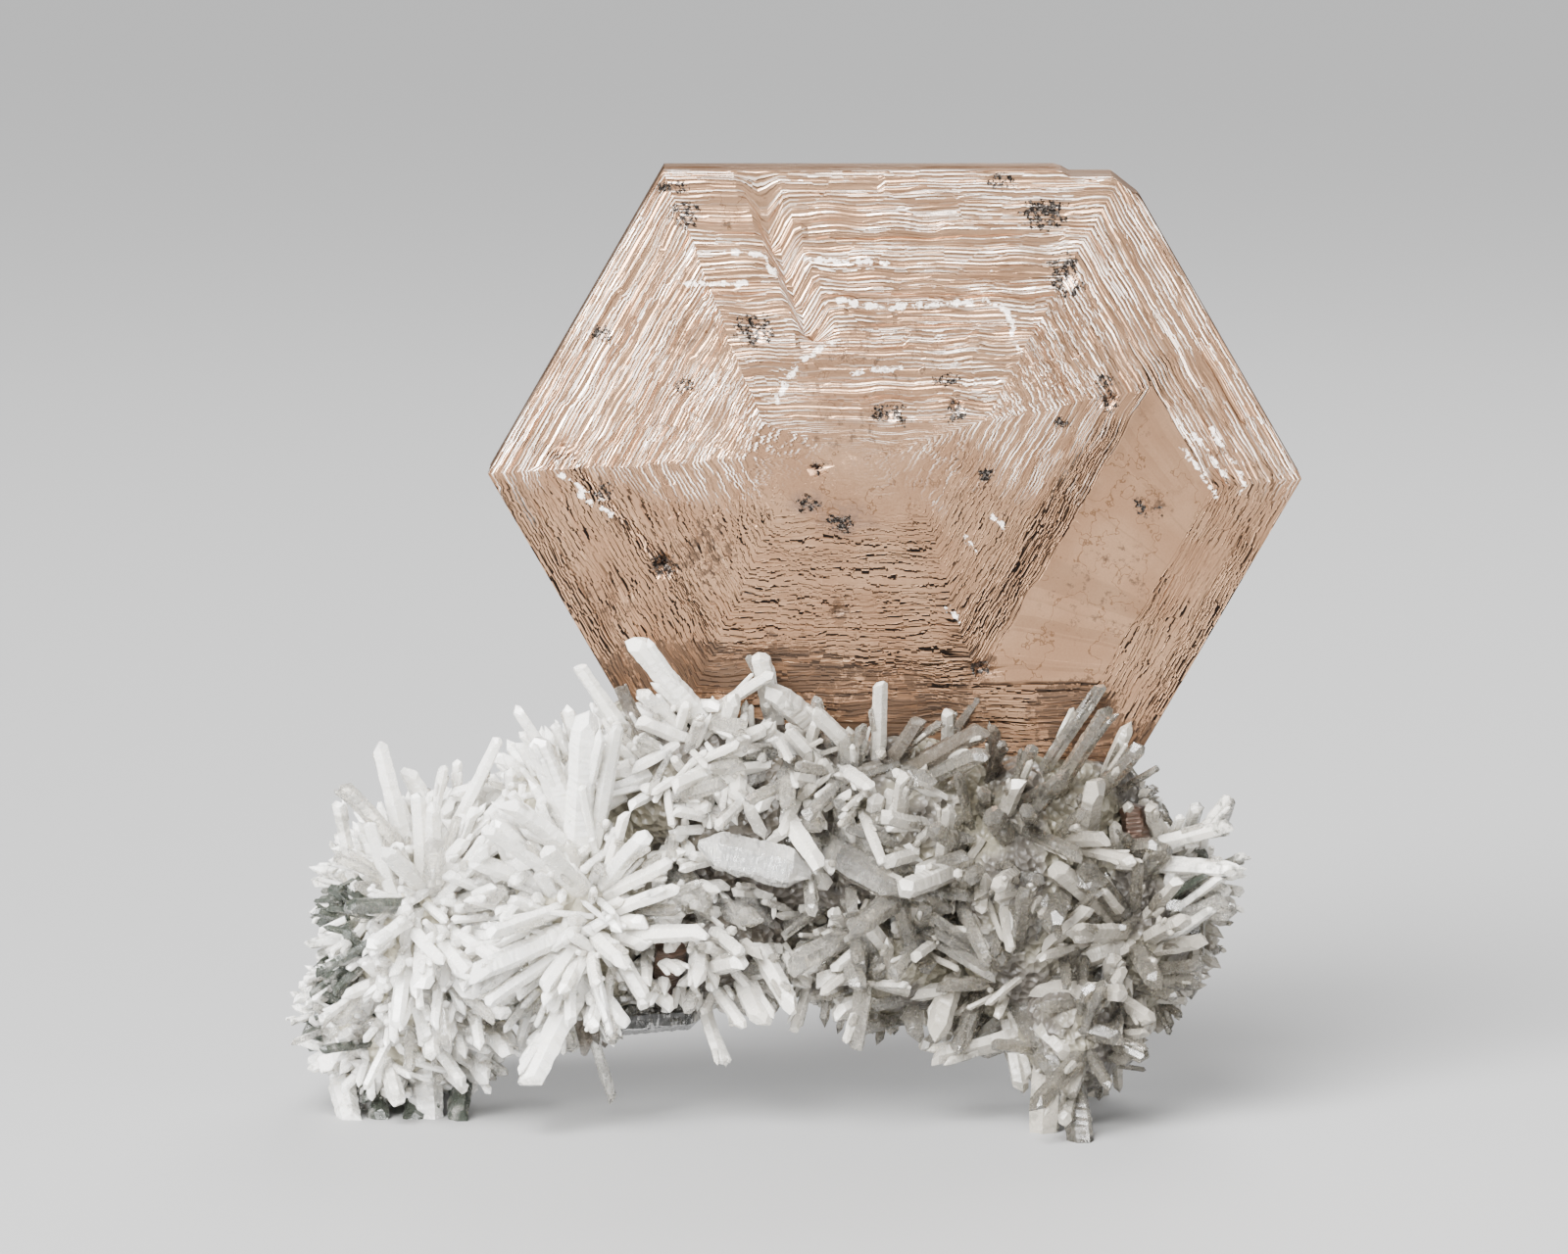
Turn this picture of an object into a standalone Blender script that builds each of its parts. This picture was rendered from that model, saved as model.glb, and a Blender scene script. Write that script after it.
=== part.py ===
"""A pyrrhotite specimen: one large hexagonal tabular crystal standing in an arched cluster of quartz prisms.

The frame is X to the right, Y away from the front, Z up, with the origin on the surface that the
specimen stands on, under the middle of its box. Lengths below are millimetres.
"""

import math
import random

import bmesh
import bpy
from mathutils import Matrix, Vector

MILLIMETRE = 0.001
GAP = 0.35

# The front view that the crystals were read in looks down a little, and its zero is the front foot.
VIEW_ELEVATION = math.radians(8)
FRONT_FOOT_DEPTH = -22.0

# The pyrrhotite plate: its middle, and how far its six edges stand from there, clockwise from the top.
PLATE_MIDDLE = Vector((13.0, 0.0, 80.4))
EDGE_ANGLES = [math.radians(a) for a in (90, 30, -30, -90, -150, 150)]
RIM_DISTANCES = (36.7, 42.5, 43.5, 36.7, 43.0, 42.6)
SUMMIT_DISTANCES = (6.5, 12.5, 6.0, 5.0, 15.0, 17.0)
RIM_HALF_THICKNESS = 4.5
SUMMIT_HALF_THICKNESS = 9.5
FRONT_TERRACES = 12
BACK_TERRACES = 7
SHELF_TERRACE = 4
SHELF_EDGE_DISTANCE = 34.5
SHELF_INNER_DISTANCE = 22.0

# How far a prism's root lies under the core's surface, and a depth near the core's middle.
ROOT_SINK = 3.0
CORE_MIDDLE_DEPTH = -2.0

# The rock-hard middle of the cluster, as lumps: middle x, y, z and half sizes.
LUMPS = (
    (-44.0, 2.0, 23.0, 12.0, 15.0, 14.5),
    (-26.0, 0.0, 28.5, 13.0, 16.0, 17.0),
    (-13.0, 0.0, 43.0, 12.0, 13.0, 11.5),
    (-4.0, 1.0, 37.0, 17.0, 14.0, 15.0),
    (-9.0, -1.0, 23.0, 12.0, 12.0, 8.5),
    (14.0, 1.0, 35.0, 18.0, 14.0, 14.5),
    (13.0, 0.0, 21.0, 12.0, 12.0, 8.5),
    (29.0, 0.0, 29.0, 12.5, 15.0, 18.0),
    (41.5, 2.0, 25.0, 10.5, 13.0, 13.5),
    (35.0, 1.0, 38.0, 9.5, 11.0, 8.5),
    (-48.0, 5.0, 11.0, 10.0, 11.0, 9.0),
    (35.0, -4.0, 12.0, 7.5, 12.0, 9.0),
)

LUMP_UNEVENNESS = 0.07
# A prism's point, as a share of its width and at most of its length, and how much wider its root is.
POINT_LENGTHS = (0.7, 1.1)
LONGEST_POINT = 0.4
ROOT_SWELL = 1.12

# Prisms that the front view shows. Each row: root across and up, tip across and up, width, and how far
# the tip stands out towards the viewer from the core's front at its root.
LEFT_SPRAY = (
    (-46.0, 34.0, -49.8, 49.2, 2.4, 1),
    (-45.0, 34.0, -54.4, 44.0, 2.6, 3),
    (-52.5, 30.0, -54.8, 42.0, 1.8, 1),
    (-41.5, 37.0, -46.9, 46.2, 2.6, 0),
    (-44.0, 36.5, -41.6, 46.4, 1.7, 1),
    (-42.5, 35.0, -34.8, 49.8, 2.4, 1),
    (-44.0, 30.0, -55.2, 35.2, 2.2, 3),
    (-44.0, 29.0, -53.8, 29.0, 2.8, 5),
    (-44.0, 29.0, -51.0, 24.0, 2.6, 7),
    (-43.5, 30.0, -49.0, 36.5, 2.6, 9),
    (-43.0, 30.0, -42.5, 37.5, 2.8, 10),
    (-43.0, 29.0, -36.0, 36.5, 2.8, 8),
    (-43.0, 28.5, -33.5, 31.0, 3.0, 7),
    (-43.0, 27.5, -34.4, 22.4, 2.0, 8),
    (-42.0, 29.5, -31.5, 34.5, 2.4, 5),
    (-43.0, 26.0, -38.0, 20.5, 2.6, 7),
    (-44.0, 25.0, -44.0, 19.0, 3.0, 7),
    (-50.3, 19.8, -57.0, 15.0, 1.8, 5),
    (-54.0, 18.0, -62.0, 17.2, 2.0, 1),
    (-49.5, 11.0, -47.4, 4.6, 2.2, 5),
    (-54.0, 12.0, -57.5, 8.0, 3.4, 1),
    (-40.5, 12.0, -36.4, 7.0, 2.8, 5),
    (-38.0, 15.0, -33.8, 10.8, 2.2, 7),
    (-40.0, 17.0, -34.0, 16.0, 2.2, 6),
)
MIDDLE_LEFT_SPRAY = (
    (-26.0, 33.0, -23.8, 53.4, 3.8, 4),
    (-24.0, 34.0, -20.4, 51.5, 2.6, 3),
    (-25.0, 36.0, -30.5, 50.0, 3.2, 3),
    (-25.0, 42.0, -33.1, 53.4, 2.0, 1),
    (-24.5, 44.0, -26.8, 53.7, 1.7, 0),
    (-18.5, 48.0, -25.3, 58.6, 2.2, 0),
    (-8.5, 49.0, -18.7, 61.9, 2.9, 4),
    (-16.0, 47.0, -20.4, 56.0, 1.8, 2),
    (-11.5, 49.0, -17.7, 55.4, 2.0, 2),
    (-24.5, 35.0, -34.5, 42.0, 3.0, 5),
    (-25.0, 31.0, -37.0, 38.8, 2.4, 8),
    (-26.0, 29.0, -36.5, 25.8, 2.4, 8),
    (-25.0, 27.0, -38.5, 20.8, 2.8, 8),
    (-26.0, 24.5, -36.5, 17.2, 2.4, 7),
    (-24.0, 30.0, -29.0, 36.0, 2.6, 12),
    (-23.0, 31.0, -17.0, 38.0, 2.8, 7),
    (-23.0, 30.0, -14.5, 34.6, 2.6, 6),
    (-22.5, 28.0, -13.6, 31.4, 2.4, 8),
    (-23.0, 25.0, -9.8, 26.2, 2.2, 7),
    (-23.5, 26.0, -19.6, 22.6, 2.4, 10),
    (-24.0, 24.0, -23.0, 19.8, 1.6, 10),
    (-25.0, 21.0, -31.6, 6.8, 4.4, 5),
    (-26.0, 14.5, -34.0, 10.8, 2.4, 4),
    (-25.0, 21.0, -19.5, 14.0, 2.4, 3),
    (-22.5, 19.0, -23.6, 14.3, 2.2, 8),
    (-24.5, 16.0, -21.4, 4.4, 2.2, -4),
)
CROSSING_PRISMS = (
    (-6.0, 47.0, -14.0, 43.6, 2.4, 8),
    (-15.5, 42.0, -7.6, 44.0, 2.2, 8),
    (-4.0, 43.5, -8.4, 38.8, 2.0, 9),
    (-12.5, 51.8, -4.8, 50.6, 2.3, 5),
    (-16.0, 53.2, -8.0, 53.6, 1.8, 3),
    (-9.4, 53.0, -9.4, 43.0, 1.7, 3),
    (-6.0, 50.0, -6.0, 41.4, 2.8, 6),
    (-4.2, 51.6, -4.0, 47.6, 1.9, 5),
    (1.0, 44.6, -4.8, 42.0, 1.9, 9),
    (-0.2, 47.0, 0.1, 41.4, 2.3, 7),
    (-9.0, 52.5, -1.4, 57.6, 2.4, 3),
    (-1.2, 51.0, -3.4, 60.0, 2.6, 3),
    (4.0, 50.0, -2.6, 56.0, 3.4, 4),
    (9.6, 46.5, 3.0, 53.2, 2.2, 3),
    (7.5, 45.0, 2.0, 39.8, 2.2, 9),
    (6.0, 46.0, 10.2, 43.5, 2.0, 9),
    (8.8, 41.8, 11.6, 34.4, 1.5, 10),
    (-0.6, 40.8, 4.0, 34.0, 2.5, 8),
    (2.5, 37.5, 14.0, 30.2, 4.0, 5),
    (7.6, 32.0, 7.9, 28.6, 1.6, 10),
    (-15.0, 35.0, -9.2, 28.8, 3.4, 6),
    (-10.0, 30.0, -3.0, 27.0, 3.2, 4),
    (2.6, 34.0, 3.0, 28.6, 1.8, 8),
    (-10.0, 26.6, -5.6, 23.4, 1.8, 6),
    (-10.5, 21.5, -5.6, 22.5, 2.6, 6),
    (-10.6, 26.0, -11.0, 19.0, 2.4, 5),
    (-11.2, 19.0, -11.8, 16.6, 1.8, 10),
    (-10.5, 18.0, -7.8, 9.2, 1.9, 2),
    (-9.5, 20.0, -5.2, 14.0, 1.7, 4),
    (-5.5, 21.0, -2.8, 14.6, 3.2, 4),
    (-4.2, 25.0, 0.9, 16.8, 2.5, 7),
    (9.4, 26.6, 0.2, 21.6, 3.2, 7),
    (21.5, 34.0, 13.6, 31.2, 2.8, 10),
    (16.5, 32.4, 7.4, 26.0, 3.0, 9),
    (8.2, 26.4, 8.6, 22.3, 1.8, 8),
    (7.2, 23.4, 8.7, 19.4, 2.6, 7),
    (10.0, 22.0, 8.0, 11.6, 2.8, 6),
    (18.0, 15.5, 8.2, 13.6, 2.0, 6),
    (17.5, 26.0, 12.7, 20.6, 2.2, 8),
    (12.6, 28.4, 25.5, 20.2, 2.6, 5),
    (19.6, 32.6, 24.5, 22.0, 1.9, 5),
    (19.5, 25.6, 15.4, 23.0, 1.9, 8),
    (16.0, 25.5, 16.8, 29.4, 2.2, 7),
    (22.0, 36.0, 17.2, 38.8, 2.6, 9),
    (18.0, 38.6, 11.4, 40.2, 2.2, 7),
    (18.5, 33.0, 19.6, 41.4, 2.0, 6),
    (16.5, 35.5, 12.0, 34.6, 2.4, 4),
    (13.4, 38.0, 14.4, 45.6, 2.4, 7),
    (24.4, 41.4, 23.6, 43.1, 1.9, 11),
    (29.6, 39.4, 28.8, 41.0, 2.0, 11),
    (27.0, 37.0, 24.6, 40.6, 3.0, 10),
    (24.5, 40.0, 36.0, 35.2, 2.0, 6),
    (34.0, 36.6, 42.4, 34.4, 1.9, 6),
    (21.6, 32.0, 22.6, 33.2, 3.4, 12),
    (27.5, 33.0, 25.4, 31.8, 2.8, 11),
    (28.0, 22.0, 28.6, 31.6, 2.2, 10),
    (33.0, 30.0, 31.8, 27.0, 3.8, 9),
    (21.0, 22.5, 18.0, 12.2, 3.0, 5),
    (24.0, 19.0, 20.6, 10.6, 2.6, 3),
)
UPPER_SPRAY = (
    (11.0, 46.0, 11.3, 56.6, 2.0, 2),
    (12.0, 45.5, 16.1, 52.1, 2.5, 2),
    (14.5, 45.2, 24.2, 50.8, 2.8, 5),
    (19.0, 48.0, 23.8, 55.0, 2.2, -2),
    (16.0, 44.2, 23.8, 47.8, 2.2, 7),
    (27.4, 41.5, 29.8, 48.9, 2.2, 4),
    (32.2, 42.0, 39.0, 53.6, 2.3, 4),
    (31.0, 45.0, 38.5, 56.3, 2.2, -2),
    (36.0, 41.0, 43.2, 48.8, 2.4, 3),
    (37.5, 42.0, 42.0, 51.6, 2.0, -2),
    (30.0, 40.5, 33.4, 45.0, 3.0, 5),
    (36.5, 38.0, 37.5, 44.5, 3.6, 5),
    (33.0, 37.5, 36.0, 40.6, 2.2, 9),
    (8.5, 45.0, 9.0, 51.4, 2.2, 1),
)
RIGHT_SPRAY = (
    (41.5, 31.0, 46.6, 36.8, 3.0, 0),
    (46.8, 36.5, 43.2, 41.9, 1.9, 0),
    (43.0, 34.0, 51.6, 39.0, 2.6, 0),
    (48.8, 36.0, 50.4, 41.7, 1.9, 0),
    (44.5, 32.6, 56.0, 33.3, 2.4, 0),
    (45.0, 29.0, 55.4, 28.4, 2.8, 0),
    (43.4, 27.0, 47.6, 32.6, 2.5, 5),
    (46.0, 27.0, 52.8, 32.8, 2.0, 2),
    (42.5, 26.0, 35.6, 34.8, 3.0, 6),
    (41.5, 26.0, 31.8, 34.4, 3.2, 5),
    (42.5, 25.2, 34.4, 26.5, 2.8, 9),
    (38.0, 24.8, 30.4, 22.8, 1.9, 7),
    (28.0, 19.0, 41.5, 18.6, 2.8, 5),
    (41.8, 22.0, 36.4, 16.5, 2.3, 8),
    (28.5, 18.0, 44.2, 10.6, 2.8, 4),
    (42.0, 20.0, 39.0, 12.2, 2.2, 6),
    (42.5, 19.5, 50.4, 19.8, 2.0, 4),
    (43.0, 21.0, 50.8, 22.0, 2.2, 3),
    (43.5, 23.5, 51.0, 25.0, 2.4, 3),
    (44.0, 25.0, 48.0, 27.5, 3.0, 10),
    (42.5, 24.0, 44.6, 20.0, 2.6, 10),
    (40.0, 18.0, 44.4, 15.0, 2.2, 3),
    (37.8, 12.8, 29.8, 4.8, 2.6, 8),
    (27.4, 18.5, 33.6, 6.6, 2.8, 6),
    (27.0, 16.0, 28.8, 6.2, 2.3, 3),
    (35.0, 8.0, 33.6, 3.2, 2.0, 7),
)

# Crystals of their own that the cluster holds: node name, finish, the two ends (across, up, how far
# they stand out from the core's front), width, flatness, and the length of the points as a share of
# the width.
HELD_CRYSTALS = (
    ("stout_clear_crystal", "clear_quartz", (-11.5, 36.6, 3.5), (3.6, 33.0, 5.0), 7.6, 0.75, 0.45),
    ("dark_clear_crystal", "smoky_quartz", (-24.0, 14.6, 2.0), (-9.6, 15.6, 2.0), 5.2, 0.8, 0.5),
    ("small_pyrrhotite_crystal", "dark_pyrrhotite", (42.8, 35.4, 1.0), (42.2, 41.6, 2.0), 4.2, 0.8, 0.15),
    ("brown_pyrrhotite_crystal", "dark_pyrrhotite", (-15.2, 17.6, 2.5), (-14.0, 24.4, 2.5), 4.6, 0.7, 0.12),
)

# Marks on the plate's front: V grooves (ends across and up, width), and pits (across, up, radius).
GROOVES = (
    (-37.0, 88.0, -26.0, 83.0, 2.6),
    (-27.5, 85.0, -9.0, 63.0, 2.4),
    (-7.0, 110.5, 2.5, 96.0, 4.6),
    (47.0, 98.0, 17.0, 53.0, 1.8),
    (4.5, 100.5, 21.0, 100.0, 3.0),
)
PITS = (
    (-15.0, 70.5, 1.3),
    (-4.0, 99.0, 1.6),
    (23.5, 58.0, 1.1),
    (4.0, 82.3, 0.8),
    (39.0, 90.5, 1.1),
    (33.5, 105.5, 1.8),
    (12.5, 89.0, 1.1),
    (20.5, 89.5, 1.0),
)
PIT_DEPTH = 1.2
PIT_FLOOR = 0.6
# The corner that is broken off at the upper right: how far its cut stands from the plate's middle.
CUT_CORNER_DISTANCE = 44.6
CUT_CORNER_ANGLE = math.radians(52)

# Feet: where each prism meets the ground, its root in the cluster, and its width.
FEET = (
    ((36.0, -21.0), (34.0, -8.0, 12.0), 3.6),
    ((39.0, 15.0), (36.0, 5.0, 14.0), 4.6),
    ((31.0, -13.0), (32.0, -8.0, 14.0), 4.0),
    ((-53.0, 5.0), (-50.0, 4.0, 12.0), 5.2),
    ((-44.0, -3.0), (-45.0, 0.0, 12.0), 4.8),
    ((-41.0, 15.0), (-43.0, 8.0, 14.0), 4.8),
)

# Fine, short prisms that nobody placed one by one: on the back, the flanks and the underside.
FILLER_SEED = 11
FILLER_LENGTHS = (7.0, 13.0)
FILLER_WIDTHS = (2.8, 4.4)
FILLER_SWAY = 0.45
FILLERS_FRONT_LIMIT = -0.3
GOLDEN_ANGLE = math.pi * (3 - math.sqrt(5))
FILLERS_PER_LUMP = (26, 22, 14, 16, 12, 16, 10, 20, 22, 10, 10, 8)
# The cluster's edge in the front view, across and up, which a filler's tip stays inside.
CLUSTER_EDGE = (
    (-57, 9), (-60, 16), (-57, 22), (-55, 28), (-54, 35), (-52, 40), (-46, 43), (-40, 44),
    (-35, 46), (-31, 50), (-26, 53), (-22, 54), (-15, 54), (-8, 55), (0, 55), (7, 51), (12, 49),
    (20, 49), (28, 48), (36, 47), (42, 44), (44, 38), (50, 36), (55, 33), (54, 27), (50, 21),
    (46, 17), (43, 11), (40, 7), (36, 3), (30, 6), (26, 10), (18, 10), (8, 12), (3, 14),
    (-4, 15), (-11, 16), (-18, 13), (-23, 9), (-30, 8), (-36, 6), (-40, 4), (-47, 3), (-54, 4),
)

MATERIALS = {
    "pyrrhotite": ((0.66, 0.53, 0.46), 0.35, 1.0),
    "dark_pyrrhotite": ((0.20, 0.13, 0.10), 0.45, 0.8),
    "milky_quartz": ((0.86, 0.86, 0.84), 0.45, 0.0),
    "clear_quartz": ((0.80, 0.81, 0.80), 0.20, 0.0),
    "smoky_quartz": ((0.24, 0.24, 0.23), 0.20, 0.0),
}


def clear_scene():
    for old in list(bpy.data.objects):
        bpy.data.objects.remove(old)


def new_collection(name, shown):
    made = bpy.data.collections.new(name)
    bpy.context.scene.collection.children.link(made)
    made.hide_render = not shown
    return made


def material(name):
    colour, roughness, metallic = MATERIALS[name]
    made = bpy.data.materials.new(name)
    made.use_nodes = True
    shader = made.node_tree.nodes["Principled BSDF"]
    shader.inputs["Base Color"].default_value = (*colour, 1.0)
    shader.inputs["Roughness"].default_value = roughness
    shader.inputs["Metallic"].default_value = metallic
    return made


def object_from(bm, name, collection, finish=None):
    """Turns a bmesh in millimetres into a named object in metres, with its faces pointing out."""
    bmesh.ops.scale(bm, vec=(MILLIMETRE,) * 3, verts=bm.verts)
    bmesh.ops.recalc_face_normals(bm, faces=bm.faces)
    mesh = bpy.data.meshes.new(name)
    bm.to_mesh(mesh)
    bm.free()
    made = bpy.data.objects.new(name, mesh)
    collection.objects.link(made)
    if collection.hide_render:
        made.hide_render = True
        made.display_type = "WIRE"
    if finish:
        made.data.materials.append(finish)
    return made


def height_of(up, depth):
    """The height of a point that the front view shows at `up`, when it lies at this depth."""
    fall = (depth - FRONT_FOOT_DEPTH) * math.sin(VIEW_ELEVATION)
    return (up - fall) / math.cos(VIEW_ELEVATION)


def shown_at(point):
    """Where the front view shows a point, across and up."""
    rise = (point.y - FRONT_FOOT_DEPTH) * math.sin(VIEW_ELEVATION)
    return point.x, point.z * math.cos(VIEW_ELEVATION) + rise


def front_of_core(x, z):
    """The depth of the core's front there, or near its middle where the point is beside it."""
    depths = []
    for cx, cy, cz, rx, ry, rz in LUMPS:
        left = 1 - ((x - cx) / rx) ** 2 - ((z - cz) / rz) ** 2
        if left > 0:
            depths.append(cy - ry * math.sqrt(left))
    return min(depths, default=CORE_MIDDLE_DEPTH)


def placed_prism(row):
    """The root and tip, in the object's frame, of a prism that the front view shows."""
    root_x, root_up, tip_x, tip_up, width, reach = row
    depth = -10.0
    for _ in range(4):
        depth = front_of_core(root_x, height_of(root_up, depth)) + ROOT_SINK
    root = Vector((root_x, depth, height_of(root_up, depth)))
    tip_depth = depth - ROOT_SINK - reach
    tip = Vector((tip_x, tip_depth, height_of(tip_up, tip_depth)))
    return root, tip, width


def inside_edge(x, up):
    """Whether the cluster's edge in the front view goes round this place."""
    inside = False
    for (x0, up0), (x1, up1) in zip(CLUSTER_EDGE, CLUSTER_EDGE[1:] + CLUSTER_EDGE[:1]):
        if (up0 > up) != (up1 > up) and x < x0 + (up - up0) / (up1 - up0) * (x1 - x0):
            inside = not inside
    return inside


def buried(point, own_lump):
    for lump in LUMPS:
        cx, cy, cz, rx, ry, rz = lump
        spread = ((point.x - cx) / rx) ** 2 + ((point.y - cy) / ry) ** 2 + ((point.z - cz) / rz) ** 2
        if lump != own_lump and spread < 0.95:
            return True
    return False


def filler_prisms():
    """Prisms all round the lumps, apart from the front, where the placed ones stand."""
    source = random.Random(FILLER_SEED)
    found = []
    for lump, count in zip(LUMPS, FILLERS_PER_LUMP):
        cx, cy, cz, rx, ry, rz = lump
        for k in range(count):
            up = 1 - 2 * (k + 0.5) / count
            turn = k * GOLDEN_ANGLE + source.uniform(-0.25, 0.25)
            level = math.sqrt(1 - up * up)
            way = Vector((level * math.cos(turn), level * math.sin(turn), up))
            length = source.uniform(*FILLER_LENGTHS)
            width = source.uniform(*FILLER_WIDTHS)
            sway = Vector([source.uniform(-FILLER_SWAY, FILLER_SWAY) for _ in range(3)])
            start = Vector((cx + rx * way.x, cy + ry * way.y, cz + rz * way.z))
            if way.y < FILLERS_FRONT_LIMIT or buried(start, lump):
                continue
            out = (Vector((way.x / rx, way.y / ry, way.z / rz)).normalized() + sway).normalized()
            while length > FILLER_LENGTHS[0] / 2 and not free_tip(start + out * length):
                length -= 1.5
            tip = start + out * length
            if free_tip(tip):
                found.append((start - out * ROOT_SINK, tip, width))
    return found


def free_tip(tip):
    """Whether a filler's tip is above the ground, inside the cluster's edge and clear of the plate."""
    near_plate = tip.z > PLATE_MIDDLE.z - RIM_DISTANCES[3] and abs(tip.y) < SUMMIT_HALF_THICKNESS
    return tip.z > 2 and inside_edge(*shown_at(tip)) and not near_plate


def add_prism(bm, root, tip, width, point, roll):
    """A six-sided prism from root to tip, whose end is a six-sided point."""
    axis = tip - root
    point_length = min(width * point, axis.length * LONGEST_POINT)
    shaft = axis.length - point_length
    turned = axis.to_track_quat("Z", "Y").to_matrix().to_4x4()
    place = Matrix.Translation(root) @ turned @ Matrix.Rotation(roll, 4, "Z")
    made = bmesh.ops.create_cone(
        bm,
        cap_ends=True,
        segments=6,
        radius1=width / 2 * ROOT_SWELL,
        radius2=width / 2,
        depth=shaft,
        matrix=place @ Matrix.Translation((0, 0, shaft / 2)),
    )
    top = max({f for v in made["verts"] for f in v.link_faces}, key=lambda f: along(f, root, axis))
    poked = bmesh.ops.poke(bm, faces=[top])
    poked["verts"][0].co = tip


def along(face, root, axis):
    return (face.calc_center_median() - root).dot(axis)


def add_lump(bm, lump, source):
    """An uneven, flat-faced lump."""
    cx, cy, cz, rx, ry, rz = lump
    bmesh.ops.create_icosphere(bm, subdivisions=2, radius=1.0)
    for v in bm.verts:
        v.co *= source.uniform(1 - LUMP_UNEVENNESS, 1 + LUMP_UNEVENNESS)
    place = Matrix.Translation((cx, cy, cz)) @ Matrix.Diagonal((rx, ry, rz, 1))
    bmesh.ops.transform(bm, matrix=place, verts=bm.verts)


def hexagon(distances, depth):
    """The corners of a hexagon whose edges stand these distances from the plate's middle."""
    corners = []
    for i in range(6):
        a, b = EDGE_ANGLES[i], EDGE_ANGLES[(i + 1) % 6]
        sine = math.sin(b - a)
        near, far = distances[i], distances[(i + 1) % 6]
        across = (near * math.sin(b) - far * math.sin(a)) / sine
        up = (far * math.cos(a) - near * math.cos(b)) / sine
        corners.append(PLATE_MIDDLE + Vector((across, depth, up)))
    return corners


def terrace_distances(share, shelf):
    """How far a terrace's edges stand from the middle, with a broad shelf at the front's lower right."""
    found = [a + (b - a) * share for a, b in zip(RIM_DISTANCES, SUMMIT_DISTANCES)]
    if shelf:
        step = SHELF_TERRACE / FRONT_TERRACES
        if share <= step:
            found[2] = RIM_DISTANCES[2] + (SHELF_EDGE_DISTANCE - RIM_DISTANCES[2]) * share / step
        else:
            inner = (share - step) / (1 - step)
            found[2] = SHELF_INNER_DISTANCE + (SUMMIT_DISTANCES[2] - SHELF_INNER_DISTANCE) * inner
    return found


def raise_terraces(bm, face, side, count, shelf):
    """Steps a face of the plate up to its summit, in flat ledges."""
    rise = (SUMMIT_HALF_THICKNESS - RIM_HALF_THICKNESS) / count
    for k in range(1, count + 1):
        ledge = hexagon(terrace_distances(k / count, shelf), 0)
        for move in (0, rise):
            grown = bmesh.ops.extrude_face_region(bm, geom=[face])["geom"]
            bm.faces.remove(face)
            face = next(g for g in grown if isinstance(g, bmesh.types.BMFace))
            for corner in face.verts:
                if move:
                    corner.co.y += side * rise
                else:
                    target = max(ledge, key=lambda c: towards(c).dot(towards(corner.co)))
                    corner.co.x, corner.co.z = target.x, target.z


def towards(point):
    """The direction from the plate's middle to a point, seen from the front."""
    return Vector((point.x - PLATE_MIDDLE.x, 0, point.z - PLATE_MIDDLE.z)).normalized()


def plate_front(x, z):
    """The depth of the stepped front face there."""
    depth = -RIM_HALF_THICKNESS
    rise = (SUMMIT_HALF_THICKNESS - RIM_HALF_THICKNESS) / FRONT_TERRACES
    for k in range(1, FRONT_TERRACES + 1):
        edges = zip(EDGE_ANGLES, terrace_distances(k / FRONT_TERRACES, True))
        across, up = x - PLATE_MIDDLE.x, z - PLATE_MIDDLE.z
        if all(across * math.cos(a) + up * math.sin(a) <= d for a, d in edges):
            depth = -RIM_HALF_THICKNESS - k * rise
    return depth


def on_plate(x, up):
    """The point of the plate's front face that the front view shows there."""
    depth = plate_front(x, height_of(up, -SUMMIT_HALF_THICKNESS))
    return Vector((x, depth, height_of(up, depth)))


def plate_cutters(collection):
    """What is missing from the plate: V grooves, pits and the corner at the upper right."""
    cutters = []
    for number, (x0, up0, x1, up1, width) in enumerate(GROOVES):
        start, end = on_plate(x0, up0), on_plate(x1, up1)
        side = width / math.sqrt(2)
        turned = (end - start).to_track_quat("X", "Y").to_matrix().to_4x4()
        sized = Matrix.Diagonal(((end - start).length, side, side, 1))
        place = Matrix.Translation((start + end) / 2) @ turned @ Matrix.Rotation(math.pi / 4, 4, "X") @ sized
        bm = bmesh.new()
        bmesh.ops.create_cube(bm, size=1.0, matrix=place)
        cutters.append(object_from(bm, f"groove_{number}", collection))
    for number, (x, up, radius) in enumerate(PITS):
        bm = bmesh.new()
        lying = Matrix.Translation(on_plate(x, up)) @ Matrix.Rotation(math.pi / 2, 4, "X")
        bmesh.ops.create_cone(
            bm,
            cap_ends=True,
            segments=6,
            radius1=radius * PIT_FLOOR,
            radius2=radius * (2 - PIT_FLOOR),
            depth=PIT_DEPTH * 2,
            matrix=lying,
        )
        cutters.append(object_from(bm, f"pit_{number}", collection))
    bm = bmesh.new()
    turned = Matrix.Rotation(-CUT_CORNER_ANGLE, 4, "Y")
    block = 40
    beyond = Matrix.Translation((CUT_CORNER_DISTANCE + block / 2, 0, 0)) @ Matrix.Scale(block, 4)
    bmesh.ops.create_cube(bm, size=1.0, matrix=Matrix.Translation(PLATE_MIDDLE) @ turned @ beyond)
    cutters.append(object_from(bm, "broken_corner", collection))
    return cutters


def cut_by(obj, cutters):
    """Adds a Boolean cut for each cutter."""
    for cutter in cutters:
        cut = obj.modifiers.new(cutter.name, "BOOLEAN")
        cut.operation = "DIFFERENCE"
        cut.object = cutter


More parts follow.
